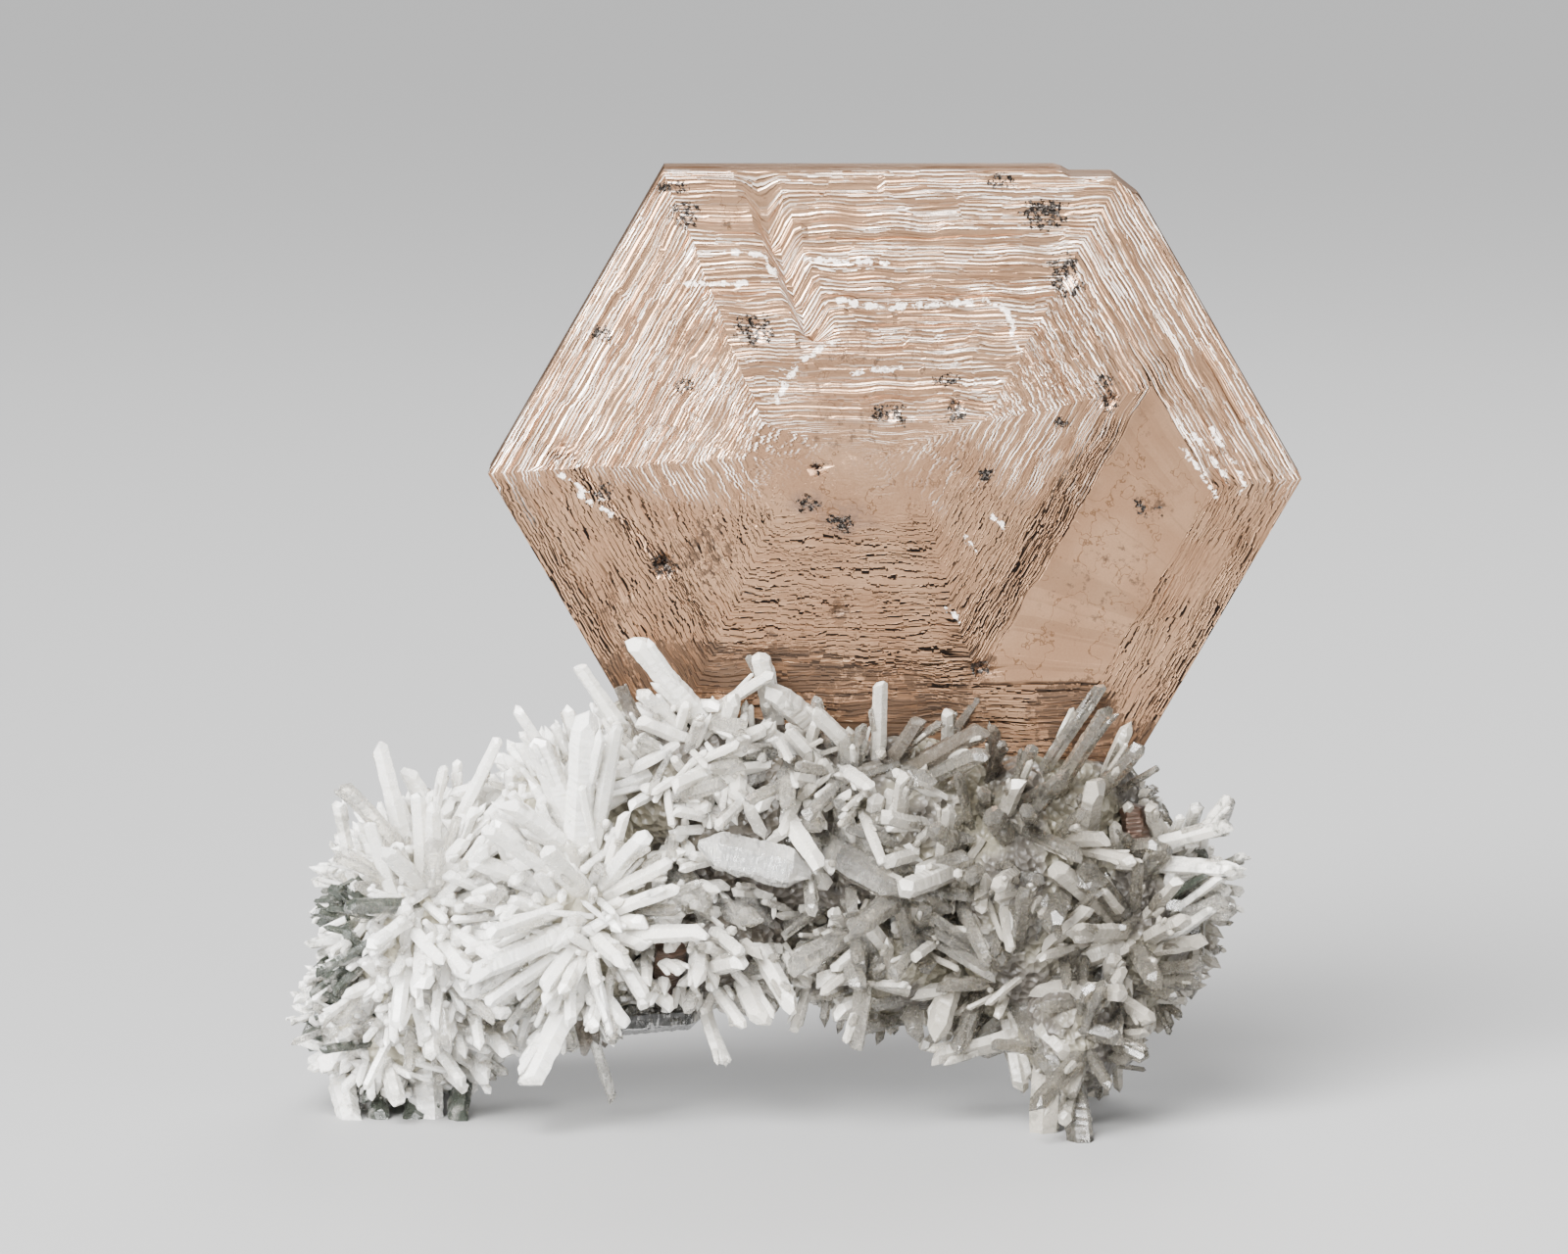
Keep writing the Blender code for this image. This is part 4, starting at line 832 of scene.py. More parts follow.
def plate_mesh(settings):
    """The plate as one closed mesh with its growth coordinates and the masks of its marks."""
    points, shares, risers, front_start = plate_rings(settings)
    rows = len(points)
    bm = bmesh.new()
    bmesh.ops.create_grid(bm, x_segments=COLUMNS, y_segments=rows - 1, size=1.0)
    mesh = bpy.data.meshes.new("plate_rings")
    bm.to_mesh(mesh)
    bm.free()
    raw = np.empty(len(mesh.vertices) * 3)
    mesh.vertices.foreach_get("co", raw)
    raw = raw.reshape(-1, 3)
    column = np.rint((raw[:, 0] + 1) / 2 * COLUMNS).astype(int)
    row = np.rint((raw[:, 1] + 1) / 2 * (rows - 1)).astype(int)
    wrapped = column % COLUMNS
    placed = points[row, wrapped]
    mesh.vertices.foreach_set("co", placed.ravel())

    x = placed[:, 0]
    up = up_of(placed[:, 2], placed[:, 1])
    on_front = row >= front_start - 1
    shelf_start = front_start + 2 * OUTER_LAYERS
    on_shelf = (row >= shelf_start) & (row <= shelf_start + SHELF_RINGS)
    on_shelf &= wrapped // SIDE_POINTS == LOWER_RIGHT
    # Among these masks, the glint mask holds painted highlights; the band mask and the mask of the voids
    # hold painted shade.
    masks = {
        "stain": spread_of(x, up, STAINS),
        "void_shade": spread_of(x, up, SHADED_VOIDS),
        "plain": np.maximum(spread_of(x, up, PLAIN_PATCHES), on_shelf * 0.95),
        "glint": near_lines(x, up, [(line, GLINT_HALF_WIDTH) for line in GLINTS], 1),
        "band": near_lines(x, up, BANDS, 1.3),
        "smudge": spread_of(x, up, SMUDGES),
    }
    for name, values in masks.items():
        layer = mesh.attributes.new(name, "FLOAT", "POINT")
        layer.data.foreach_set("value", values * on_front)

    corners = np.empty(len(mesh.loops), dtype=int)
    mesh.loops.foreach_get("vertex_index", corners)
    growth = np.stack((column / SIDE_POINTS, shares[row, wrapped]), -1)[corners]
    mesh.uv_layers.new(name="growth").data.foreach_set("uv", growth.ravel())
    of_face = corners.reshape(-1, 4)
    face_row, face_column = row[of_face].min(1), column[of_face].min(1)
    # Each face's riser strength, which the material turns into painted highlights (above 0) and painted
    # shade (below 0).
    step = risers[np.clip(face_row, 0, len(risers) - 1), face_column]
    layer = mesh.attributes.new("riser", "FLOAT", "FACE")
    layer.data.foreach_set("value", step)

    bm = bmesh.new()
    bm.from_mesh(mesh)
    bpy.data.meshes.remove(mesh)
    bmesh.ops.remove_doubles(bm, verts=bm.verts, dist=1e-4)
    bmesh.ops.recalc_face_normals(bm, faces=bm.faces)
    return bm


def sliced(bm, place, normal):
    """Cuts off what lies beyond a plane and closes the cut."""
    cut = bmesh.ops.bisect_plane(bm, geom=bm.verts[:] + bm.edges[:] + bm.faces[:], plane_co=place,
                                 plane_no=normal, clear_outer=True)
    rims = [g for g in cut["geom_cut"] if isinstance(g, bmesh.types.BMEdge)]
    if rims:
        bmesh.ops.contextual_create(bm, geom=rims)


def rising_edges(bm, least):
    """The edges that climb by more than this."""
    return [e for e in bm.edges if abs(e.verts[0].co.z - e.verts[1].co.z) > least]


class Growth:
    """Crystals gathered into one mesh, each with its tone and how far along it a place is."""

    def __init__(self, source):
        self.source = source
        self.bm = bmesh.new()
        self.along = self.bm.verts.layers.float.new("along")
        self.tone = self.bm.verts.layers.float.new("tone")
        self.work = bpy.data.meshes.new("growth_work")

    def crystal(self, root, tip, width, tone, detailed, finish, blunt=0.9, ring_step=0.5):
        """A six-sided crystal from root to tip with an uneven point."""
        source = self.source
        axis = tip - root
        length = axis.length
        small = bmesh.new()
        along = small.verts.layers.float.new("along")
        toned = small.verts.layers.float.new("tone")
        radius = width / 2
        if detailed:
            bmesh.ops.create_cone(small, segments=6, radius1=radius * 1.1, radius2=radius * 0.92,
                                  depth=length, cap_ends=True)
            bmesh.ops.translate(small, vec=(0, 0, length / 2), verts=small.verts)
            squash = source.uniform(0.6, 1.0)
            bmesh.ops.scale(small, vec=(1, squash, 1), verts=small.verts)
            bmesh.ops.subdivide_edges(small, edges=rising_edges(small, length / 2),
                                      cuts=max(4, int(length / ring_step)), use_grid_fill=True)
            seed = random_vector(source, 90)
            for v in small.verts:
                swell = 1 + 0.09 * noise.noise(seed + Vector((0, 0, v.co.z * 0.4)))
                swell += source.uniform(-0.04, 0.04)
                bend = noise.noise_vector(seed + Vector((7, 3, v.co.z * 0.09))) * width * 0.12
                v.co = Vector((v.co.x * swell + bend.x, v.co.y * swell + bend.y, v.co.z))
            steep = width * blunt
            turn = source.uniform(0, math.pi / 3)
            for k in range(source.choice((3, 4, 5, 6))):
                way = turn + k * math.pi / 3 * source.choice((1, 1, 2)) + source.uniform(-0.2, 0.2)
                tilt = math.atan2(radius * 0.9, steep * source.uniform(0.55, 1.3))
                level = math.cos(tilt)
                normal = Vector((math.cos(way) * level, math.sin(way) * level, math.sin(tilt)))
                sliced(small, Vector((0, 0, length - width * source.uniform(0.0, 0.16))), normal)
        else:
            point = min(width * source.uniform(0.35, 1.0), length * LONGEST_POINT)
            made = bmesh.ops.create_cone(small, segments=6, radius1=radius * 1.1, radius2=radius * 0.9,
                                         depth=length - point, cap_ends=True)
            bmesh.ops.translate(small, vec=(0, 0, (length - point) / 2), verts=made["verts"])
            cap = max(small.faces, key=lambda f: f.calc_center_median().z)
            if length > SMOOTH_LENGTH:
                bmesh.ops.subdivide_edges(small, edges=rising_edges(small, 1), cuts=int(length / 1.2),
                                          use_grid_fill=True)
                for v in small.verts:
                    swell = 1 + source.uniform(-0.1, 0.1)
                    v.co = Vector((v.co.x * swell, v.co.y * swell, v.co.z))
            centre = bmesh.ops.poke(small, faces=[cap])["verts"][0]
            shift = radius * 0.45
            centre.co = (source.uniform(-shift, shift), source.uniform(-shift, shift), length)
        for v in small.verts:
            v[along] = min(1.0, max(0.0, v.co.z / length))
            v[toned] = tone
        for face in small.faces:
            face.material_index = int(finish)
        place = Matrix.Translation(root) @ axis.to_track_quat("Z", "Y").to_matrix().to_4x4()
        place = place @ Matrix.Rotation(source.uniform(0, math.pi / 3), 4, "Z")
        small.transform(place)
        if min(v.co.z for v in small.verts) < 0:
            sliced(small, (0, 0, 0), (0, 0, -1))
        small.to_mesh(self.work)
        self.bm.from_mesh(self.work)
        small.free()

    def finish(self):
        bpy.data.meshes.remove(self.work)
        return self.bm


def all_prisms():
    fillers = grown_from_lumps(random.Random(FILLER_SEED), FILLERS_PER_LUMP, FILLER_LENGTHS, FILLER_WIDTHS,
                               FILLER_SWAY, FILLERS_FRONT_LIMIT)
    return [placed_prism(row) for row in PRISMS] + fillers + foot_prisms()


def in_box(point, width):
    """A point drawn in so that a crystal of this width keeps inside the object's box."""
    low, high = [(Vector(corner) - OFFSET) / MILLIMETRE for corner in CAD_BOX]
    return Vector([min(max(point[i], low[i] + width * 0.55), high[i] - width * 0.55) for i in range(3)])


def near_hollow(point):
    """Whether the front view shows a point of the front inside one of the hollows."""
    across, up = shown_at(point)
    return point.y < FRONT_DEPTH and any(math.hypot(across - x, up - level) < reach
                                         for x, level, reach in HOLLOWS)


def finish_at(tip, glassy_share, source):
    """The finish of a crystal by where its tip is, or by chance."""
    across, up = shown_at(tip)
    glassy = source.random() < glassy_share
    for x, level, reach, finish in FINISHED_TIPS:
        if math.hypot(across - x, up - level) < reach:
            return finish
    return GLASSY if glassy else WHITE


def region_tone(point, source):
    """0 for the bright left of the cluster and its pale right end, 1 for its grey right, which is partly
    the quartz's own grey and partly painted shade on the side away from the light.
    """
    pale = 1.2 if point.x > PALE_END[0] and point.z > PALE_END[1] else 0
    return min(1.0, max(0.0, (point.x - GREY_START) / GREY_BLEND - pale + source.uniform(-0.15, 0.15)))


def quartz_prisms(settings):
    source = random.Random(settings.seed)
    growth = Growth(source)
    for root, tip, width in all_prisms():
        way = (tip - root).normalized()
        if tip.z > 0:
            tip = in_box(tip, width * (1 - abs(way.z)) + 0.3)
        tone = region_tone((root + tip) / 2, source)
        finish = finish_at(tip, settings.glassy_share * (0.35 + tone), source)
        growth.crystal(root, tip, width, tone, True, finish, source.uniform(0.3, 0.75))
    return growth.finish()


def quartz_offshoots(settings):
    """Small crystals that grow along the prisms, and needles between them."""
    source = random.Random(settings.seed + 1)
    growth = Growth(source)
    for root, tip, width in all_prisms():
        axis = tip - root
        if tip.z < 2 or axis.length < 5:
            continue
        side = axis.orthogonal().normalized()
        for _ in range(source.randint(*settings.offshoots)):
            turn = source.uniform(0, math.tau)
            aside = Matrix.Rotation(turn, 3, axis.normalized()) @ side
            first = source.uniform(0.3, 0.8)
            last = min(0.99, first + source.uniform(0.12, 0.4))
            thin = width * source.uniform(0.22, 0.45)
            lean = aside * width * 0.4
            start = root + axis * first + lean * 0.7
            end = root + axis * last + lean * source.uniform(1.0, 1.7)
            end = in_box(end, thin)
            growth.crystal(start, end, thin, region_tone(end, source), False, finish_at(end, 0.4, source))
    return growth.finish()


def clear_of_plate(tip, width):
    """Whether a tip keeps out of the plate and its own air."""
    across, up = tip.x - PLATE_MIDDLE.x, tip.z - PLATE_MIDDLE.z
    share = min((rim - across * math.cos(a) - up * math.sin(a)) / (rim - summit)
                for a, rim, summit in zip(EDGE_ANGLES, RIM_DISTANCES, SUMMIT_DISTANCES))
    thick = RIM_HALF_THICKNESS + (SUMMIT_HALF_THICKNESS - RIM_HALF_THICKNESS) * min(1, share)
    return share < -0.02 or abs(tip.y) > thick + width * 0.4


def small_crystals(name, settings, density):
    """Small crystals all round: the needles or the druse."""
    seed_step, lengths, widths, sway, glassy_share, sparse = SMALL_CRYSTALS[name]
    source = random.Random(settings.seed + seed_step)
    growth = Growth(source)
    counts = [int(c * density) for c in FILLERS_PER_LUMP]
    for root, tip, width in grown_from_lumps(source, counts, lengths, widths, sway, ALL_ROUND):
        tip = in_box(tip, width)
        left_out = source.random() < sparse * (tip.x + 20) / 34 and tip.y < FRONT_DEPTH
        if clear_of_plate(tip, width) and not near_hollow(tip) and not left_out:
            tone = region_tone(tip, source)
            finish = finish_at(tip, glassy_share * (0.4 + tone), source)
            # Small crystals go greyer still on the right: more of the same painted shade.
            growth.crystal(root, tip, width, min(1.3, tone * 1.45), False, finish)
    return growth.finish()


def quartz_sprays(settings):
    """Thin blades that radiate from the middles of the sprays."""
    source = random.Random(settings.seed + 5)
    growth = Growth(source)
    for across, up, count, reach in SPRAYS:
        for _ in range(count):
            turn = source.uniform(0, math.tau)
            out = Vector((math.cos(turn), math.sin(turn)))
            near = source.uniform(0.15, 0.75)
            root = out * reach * near + Vector((source.gauss(0, 0.8), source.gauss(0, 0.8)))
            out.rotate(Matrix.Rotation(source.gauss(0, 0.32), 2))
            span = reach * source.uniform(0.3, 1.05 - near * 0.6)
            most, widths = (4.0, (1.0, 2.5)) if across < LEFT_SPRAYS_END else (3.4, (1.4, 2.9))
            stand = source.uniform(-0.6, most) * (1.2 - near)
            width = source.uniform(*widths)
            first = (across + root.x, up + root.y)
            last = (across + root.x + out.x * span, up + root.y + out.y * span)
            if not inside_edge(*last) or not inside_edge(*first):
                continue
            start, tip, _ = placed_prism((*first, *last, width, stand))
            start.y -= source.uniform(0, 1.5)
            tip = in_box(tip, width)
            crosses = any(near_hollow(start.lerp(tip, share)) for share in (0.25, 0.5, 0.75, 1))
            if tip.z > 1.5 and clear_of_plate(tip, width) and not crosses:
                tone = region_tone(tip, source)
                finish = finish_at(tip, 0.4 * (0.4 + tone), source)
                growth.crystal(start, tip, width, tone, True, finish, 0.5, 0.8)
    return growth.finish()


def quartz_needles(settings):
    return small_crystals("quartz_needles", settings, settings.needle_density)


def quartz_druse(settings):
    return small_crystals("quartz_druse", settings, settings.druse_density)


def quartz_core(settings):
    """The rough middle that the crystals stand on."""
    source = random.Random(settings.seed + 4)
    whole = bmesh.new()
    work = bpy.data.meshes.new("core_work")
    for cx, cy, cz, rx, ry, rz in LUMPS:
        bm = bmesh.new()
        bmesh.ops.create_icosphere(bm, subdivisions=5, radius=1.0)
        seed = random_vector(source, 50)
        for v in bm.verts:
            rough = 0.05 * noise.noise(seed + v.co * 3) + 0.035 * noise.noise(seed + v.co * 9)
            v.co *= 0.97 + rough
        place = Matrix.Translation((cx, cy, cz)) @ Matrix.Diagonal((rx, ry, rz, 1))
        bmesh.ops.transform(bm, matrix=place, verts=bm.verts)
        bm.to_mesh(work)
        bm.free()
        whole.from_mesh(work)
    bpy.data.meshes.remove(work)
    return whole


def held_crystal(name, settings):
    """A stout crystal pointed at both ends, with stepped growth lines across it."""
    first, last, width, flatness, pointed = HELD_CRYSTALS[name]
    source = random.Random(settings.seed + len(name))
    ends = []
    for x, up, stand_out in (first, last):
        depth = front_of_core(x, height_of(up, FIRST_DEPTH)) - stand_out
        ends.append(Vector((x, depth, height_of(up, depth))))
    axis = ends[1] - ends[0]
    middle = (ends[0] + ends[1]) / 2
    point_length = width * pointed
    bm = bmesh.new()
    radius = width / 2
    bmesh.ops.create_cone(bm, cap_ends=True, segments=6, radius1=radius, radius2=radius,
                          depth=axis.length - 2 * point_length)
    caps = [f for f in bm.faces if len(f.verts) == 6]
    for cap in caps:
        way = 1 if cap.calc_center_median().z > 0 else -1
        centre = bmesh.ops.poke(bm, faces=[cap])["verts"][0]
        aside = [radius * source.uniform(-0.2, 0.2) for _ in range(2)]
        centre.co = (*aside, way * axis.length / 2)
    bmesh.ops.bevel(bm, geom=bm.edges[:], offset=width * 0.045, segments=1, profile=0.5,
                    affect="EDGES", material=-1)
    bmesh.ops.subdivide_edges(bm, edges=rising_edges(bm, axis.length * 0.4), cuts=20, use_grid_fill=True)
    bmesh.ops.triangulate(bm, faces=[f for f in bm.faces if len(f.verts) > 4])
    bmesh.ops.subdivide_edges(bm, edges=bm.edges[:], cuts=2, use_grid_fill=True)
    for v in bm.verts:
        across = Vector((v.co.x * 0.08, v.co.y * 0.08, v.co.z * 1.9))
        line = noise.noise(across + Vector((3, 5, len(name))))
        knob = noise.noise(v.co * 0.42 + Vector((9, 1, len(name))))
        chip = noise.noise(v.co * 1.3 + Vector((2, 8, len(name))))
        shrink = 0.98 - 0.06 * abs(line) - 0.2 * abs(knob) - 0.07 * abs(chip)
        v.co.x *= shrink
        v.co.y *= shrink
    turned = axis.to_track_quat("Z", "Y").to_matrix().to_4x4()
    bm.transform(Matrix.Translation(middle) @ turned @ Matrix.Diagonal((1, flatness, 1, 1)))
    bmesh.ops.recalc_face_normals(bm, faces=bm.faces)
    return bm


SMUDGE_COLOUR, LIGHT_RUST_COLOUR = (0.16, 0.12, 0.11), (0.42, 0.27, 0.16)
# Painted shade of the voids, near black, and the lighter grains in it.
VOID_SHADE_COLOUR, VOID_SHADE_GRAIN_COLOUR = (0.02, 0.017, 0.015), (0.2, 0.17, 0.15)
BROWN_LINE_COLOUR = (0.075, 0.045, 0.033)
CORE_COLOUR = (0.11, 0.10, 0.085)
# The colour for the back is painted light: it lightens the core there, where the lamps reach less.
LEFT_CORE_COLOUR, BACK_CORE_COLOUR = (0.42, 0.39, 0.30), (0.34, 0.32, 0.27)
QUARTZ_IOR = 1.54
# From this share of clearness on, quartz has no scattering of its own.
CLEAR_ENOUGH = 0.6


def plate_metal(settings):
    """Pinkish bronze metal, with painted highlights on steps that face up and painted shade in the dark
    brown lines of those that face down.
    """
    tree = Tree("stepped_pyrrhotite")
    place = tree.place()
    u, v, _ = tree.parts(tree.uv("growth"))
    x, _, z = tree.parts(place)
    riser, plain = tree.attribute("riser"), tree.attribute("plain").between(0.2, 0.9)
    ragged = tree.noise(place, 0.9, 5.0, 0.7)
    fine = tree.noise(place, 3.5, 4.0, 0.7)
    broad = tree.noise(place, 0.12, 3.0)

    jog, _, _ = tree.parts(tree.cells(tree.joined(u * 13, v * 9, 0), 1.0, "Color"))
    small_jog, _, _ = tree.parts(tree.cells(tree.joined(u * 34, v * 20, 3), 1.0, "Color"))
    # The upper sides, which face the light, carry the painted highlights; the lower ones carry most of the
    # painted shade.
    upper = (z + (broad - 0.5) * 24 + ragged * 8 - 4).between(75, 84)
    level = v + ((jog - 0.5) * 0.028 + (small_jog - 0.5) * 0.012) * (1 - upper * 0.7)
    streaks = tree.noise_at(u * 3.2 + small_jog * 2, level * 84, 0, 3.0, 0.62)
    waver = tree.noise_at(u * 2.2, level * 12, 6, 3.0, 0.6) * (1 - upper * 0.5)
    steps = level * 40 + waver * 3.0
    line_number = steps - steps.fraction()
    strength = tree.noise_at(u * 1.8, line_number * 0.73, 2, 2.0, 0.6)
    hair_line = abs(steps.fraction() - 0.5).between(0.36, 0.42) * strength.between(0.27, 0.38)
    treads = level * 62 + waver * 1.5
    lit_number = treads - treads.fraction()
    lit_strength = tree.noise_at(u * 2.2, lit_number * 0.61, 5, 2.0, 0.65)
    tread = treads.fraction()
    # Painted highlight on a band of each tread of the upper sides, and painted shade just below it.
    lit = tread.between(0.3, 0.4) * (1 - tread.between(0.6, 0.7)) * lit_strength.between(0.47, 0.55)
    below = tread.between(0.66, 0.76) * (1 - tread.between(0.9, 1.0)) * lit_strength.between(0.4, 0.5)
    close = (level * 66 + waver * 2.5).fraction()
    busy = 1 - plain * 0.85
    band = (tree.attribute("band") + ragged * 0.6 - 0.3).between(0.2, 0.9)
    crowded = broad.between(0.40, 0.56)
    front = 1 - (v * -1).between(0.0, 0.02) * 0.75

    # Painted highlights: steps facing up, lit treads and the ledges, mixed towards the glint colour.
    bright = (riser.between(1.0, 2.2) * streaks.between(0.46, 0.56)).most(lit * upper)
    bright = bright * busy * front * (0.1 + 0.9 * upper) * (0.45 + crowded * 0.55)
    ledge = (tree.attribute("glint") * 0.8 + ragged.between(0.35, 0.65) * 0.6).between(0.84, 1.0)
    bright = bright.most(ledge)
    # Painted shade: steps facing down, fine hair lines, the bands and the strip just below each painted
    # highlight of the upper sides.
    dark = ((riser * -1).between(0.9, 1.9) * streaks.between(0.45, 0.54)).most(hair_line)
    dark = (dark * (1 - upper * 0.7)).most(upper * below * 0.75) * busy * front
    dark = dark * (1 - 0.6 * broad.between(0.54, 0.64) * (1 - upper))
    dark = dark.most(band * busy * abs(close - 0.5).between(0.24, 0.36)).most(plain * hair_line * 0.12)
    crack = (0.5 - abs(tree.noise(place, 0.16, 4.0, 0.6) - 0.5)).between(0.4925, 0.4965) * plain

    patchy = tree.noise(place, 0.14, 3.0).between(0.35, 0.65)
    flat = tree.mix(patchy, settings.metal, settings.metal_light)
    flat = tree.mix(fine.between(0.3, 0.8) * 0.35, flat, settings.metal_dark)
    # Darker between the streaks on the upper sides: painted shade beside the painted highlights.
    flat = tree.mix((1 - streaks).between(0.5, 0.62) * upper * 0.35, flat, settings.metal_dark)
    smudge = tree.attribute("smudge") * ragged.between(0.35, 0.6) * 0.6
    flat = tree.mix(smudge, flat, SMUDGE_COLOUR)
    stain = (tree.attribute("stain") * 0.62 + ragged.between(0.32, 0.68) * 0.62).between(0.77, 1.02)
    tint = tree.noise_at(u * 3, level * 30, 2, 3.0, 0.7)
    rust = tree.mix(tint.between(0.5, 0.61), settings.stain_dark, settings.stain)
    rust = tree.mix(tint.between(0.64, 0.68), rust, LIGHT_RUST_COLOUR)
    # Voids painted near black as their shade, with ragged edges.
    void_shade = tree.attribute("void_shade") * 0.72
    void_shade = (void_shade + tree.noise(place, 1.6, 5.0, 0.7).between(0.36, 0.64)).between(1.12, 1.18)
    whole = tree.mix(dark, flat, settings.line)
    whole = tree.mix(crack * 0.7, whole, settings.stain)
    whole = tree.mix(stain * 0.85, whole, rust)
    whole = tree.mix(bright * (1 - stain * 0.6), whole, settings.glint)
    # The painted shade of the voids, near black with lighter grains.
    spot = tree.mix(fine.between(0.52, 0.6), VOID_SHADE_COLOUR, VOID_SHADE_GRAIN_COLOUR)
    whole = tree.mix(void_shade, whole, spot)

    # The painted highlights lose most of their metal so that they read white; the stains lose a little.
    dull = (stain * 0.3).most(bright * 0.7)
    rough = 0.27 + (dull - bright * 0.7) * 0.35 - bright * 0.05 + fine * 0.06
    relief = streaks * 0.5 + ragged * 0.35 + fine * 0.2 - void_shade * 1.2 - stain * 0.2 - dark * 0.6
    return tree.finish(Base_Color=whole, Roughness=rough, Metallic=1 - dull * 0.85,
                       Normal=tree.bump(relief, 0.05, 0.6))


def frosted_quartz(name, settings, clear, tint=None):
    """Frosted quartz that light passes into; clear is the share that shows what is behind it."""
    tree = Tree(name, IOR=QUARTZ_IOR, Transmission_Weight=clear)
    if clear < CLEAR_ENOUGH:
        tree.finish(Subsurface_Weight=0.6, Subsurface_Scale=0.7 * MILLIMETRE,
                    Subsurface_Radius=(1.0, 0.97, 0.92))
    place = tree.place()
    x, _, z = tree.parts(place)
    along, tone = tree.attribute("along"), tree.attribute("tone")
    cloud = tree.noise(place, 0.5, 3.0)
    frost = tree.noise(place, 0.9, 3.0, 0.6)
    # Grey to the right: partly the quartz's own grey, partly painted shade away from the light.
    base = tree.mix(tone, settings.white, settings.grey)
    if tint:
        base = tree.mix(cloud.between(0.3, 0.5) * 0.35 + 0.6, base, tint)
    # Darker khaki towards each crystal's root: painted shade where the crystals crowd together.
    root = (1 - along).between(0.45, 1.0) * cloud.between(0.4, 0.65)
    base = tree.mix(root * (tone * 0.3 + 0.15), base, settings.root)
    ends = (x * -1).between(50, 58).most(x.between(44, 53) * z.between(20, 30))
    edge = ends.most((1 - z / 30).between(0.45, 0.9) * 0.6)
    green = edge * tree.noise(place, 0.35, 4.0, 0.7).between(0.48, 0.6)
    base = tree.mix(green * 0.7, base, settings.green)
    lines = tree.noise_at(along * 26, tone * 9, 0, 1.0)
    rough = 0.1 + frost.between(0.3, 0.7) * 0.24
    relief = tree.bump(frost * 0.8 + lines * 0.6, 0.15, 0.5)
    return tree.finish(Base_Color=base, Roughness=rough, Normal=relief)


def core_rock(settings):
    """What shows between the crystals: grey druse, painted near black in its hollows in the middle as their
    shade, and lighter at the back as painted light.
    """
    tree = Tree("quartz_core_rock")
    place = tree.place()
    x, y, _ = tree.parts(place)
    grain = tree.cells(place, 0.9)
    cloud = tree.noise(place, 0.12, 4.0)
    middle = (1 - abs(x + 6) / 22).between(0.2, 0.9)
    base = tree.mix(cloud.between(0.4, 0.6), settings.root, CORE_COLOUR)
    # Near black through the middle of the cluster: painted shade of its hollows.
    base = tree.mix((middle * 0.9).most(cloud.between(0.45, 0.6) * 0.5), base, settings.hollow_shade)
    base = tree.mix((x * -1).between(16, 30) * cloud.between(0.3, 0.5), base, LEFT_CORE_COLOUR)
    # Lighter at the back: painted light where the lamps reach less.
    base = tree.mix(y.between(-2, 5) * 0.7, base, BACK_CORE_COLOUR)
    return tree.finish(Base_Color=base, Roughness=0.2 + grain * 0.4, Normal=tree.bump(grain, 0.8, 1.0))


def clear_crystal(name, tint, frosted, clear):
    """Clear quartz with fine growth lines and a little frost."""
    tree = Tree(name, IOR=QUARTZ_IOR, Transmission_Weight=clear)
    place = tree.place()
    lines = tree.noise(tree.stretched(place, (1.4, 0.3, 0.35)), 1.0, 2.0)
    frost = tree.noise(place, 1.2, 4.0, 0.7)
    rough = 0.03 + frost.between(0.42, 0.68) * frosted
    relief = tree.bump(lines * 0.8 + frost * 0.2, 0.5, 0.9)
    return tree.finish(Base_Color=colour(tint), Roughness=rough, Normal=relief)


def striated_pyrrhotite(settings):
    """Dark brown metal with fine lines across it."""
    tree = Tree("striated_pyrrhotite")
    place = tree.place()
    lines = tree.noise(tree.stretched(place, (0.5, 0.5, 5.0)), 1.0, 3.0)
    line = lines.between(0.42, 0.58)
    base = tree.mix(line, settings.stain_dark, BROWN_LINE_COLOUR)
    return tree.finish(Base_Color=base, Roughness=0.5 - line * 0.2, Metallic=0.35 + line * 0.5,
                       Normal=tree.bump(lines, 0.12, 0.8))


def number(label, about, default, **more):
    return bpy.props.FloatProperty(name=label, description=about, default=default, **more)


def paint(label, about, default):
    return bpy.props.FloatVectorProperty(name=label, description=about, default=default, size=3,
                                         subtype="COLOR", min=0, max=1)


class SPECIMEN_plate_settings(bpy.types.PropertyGroup):
    seed: bpy.props.IntProperty(name="Seed", description="Which layers grow on the plate", default=5)
    upper_riser_share: number("Upper step width", "Share of a layer that a step facing up takes", 0.32)
    lower_riser_share: number("Lower step width", "Share of a layer that a step facing down takes", 0.24)
    metal: paint("Metal", "Flat faces of the plate", (0.42, 0.24, 0.14))
    metal_light: paint("Light metal", "Lighter patches of the flat faces", (0.50, 0.30, 0.18))
    # Also painted as shade between the bright streaks on the upper sides.
    metal_dark: paint("Dark metal", "Darker grain of the flat faces", (0.27, 0.148, 0.085))
    # Painted highlight colour of the steps that face up and of the ledges.
    glint: paint("Glint", "Steps that face the light", (1.0, 0.90, 0.82))
    # Painted shade colour of the steps that face down, the hair lines and the bands.
    line: paint("Line", "Steps that face down", (0.015, 0.011, 0.009))
    stain: paint("Rust", "Orange stains", (0.16, 0.082, 0.042))
    stain_dark: paint("Dark rust", "Brown stains", (0.035, 0.02, 0.012))


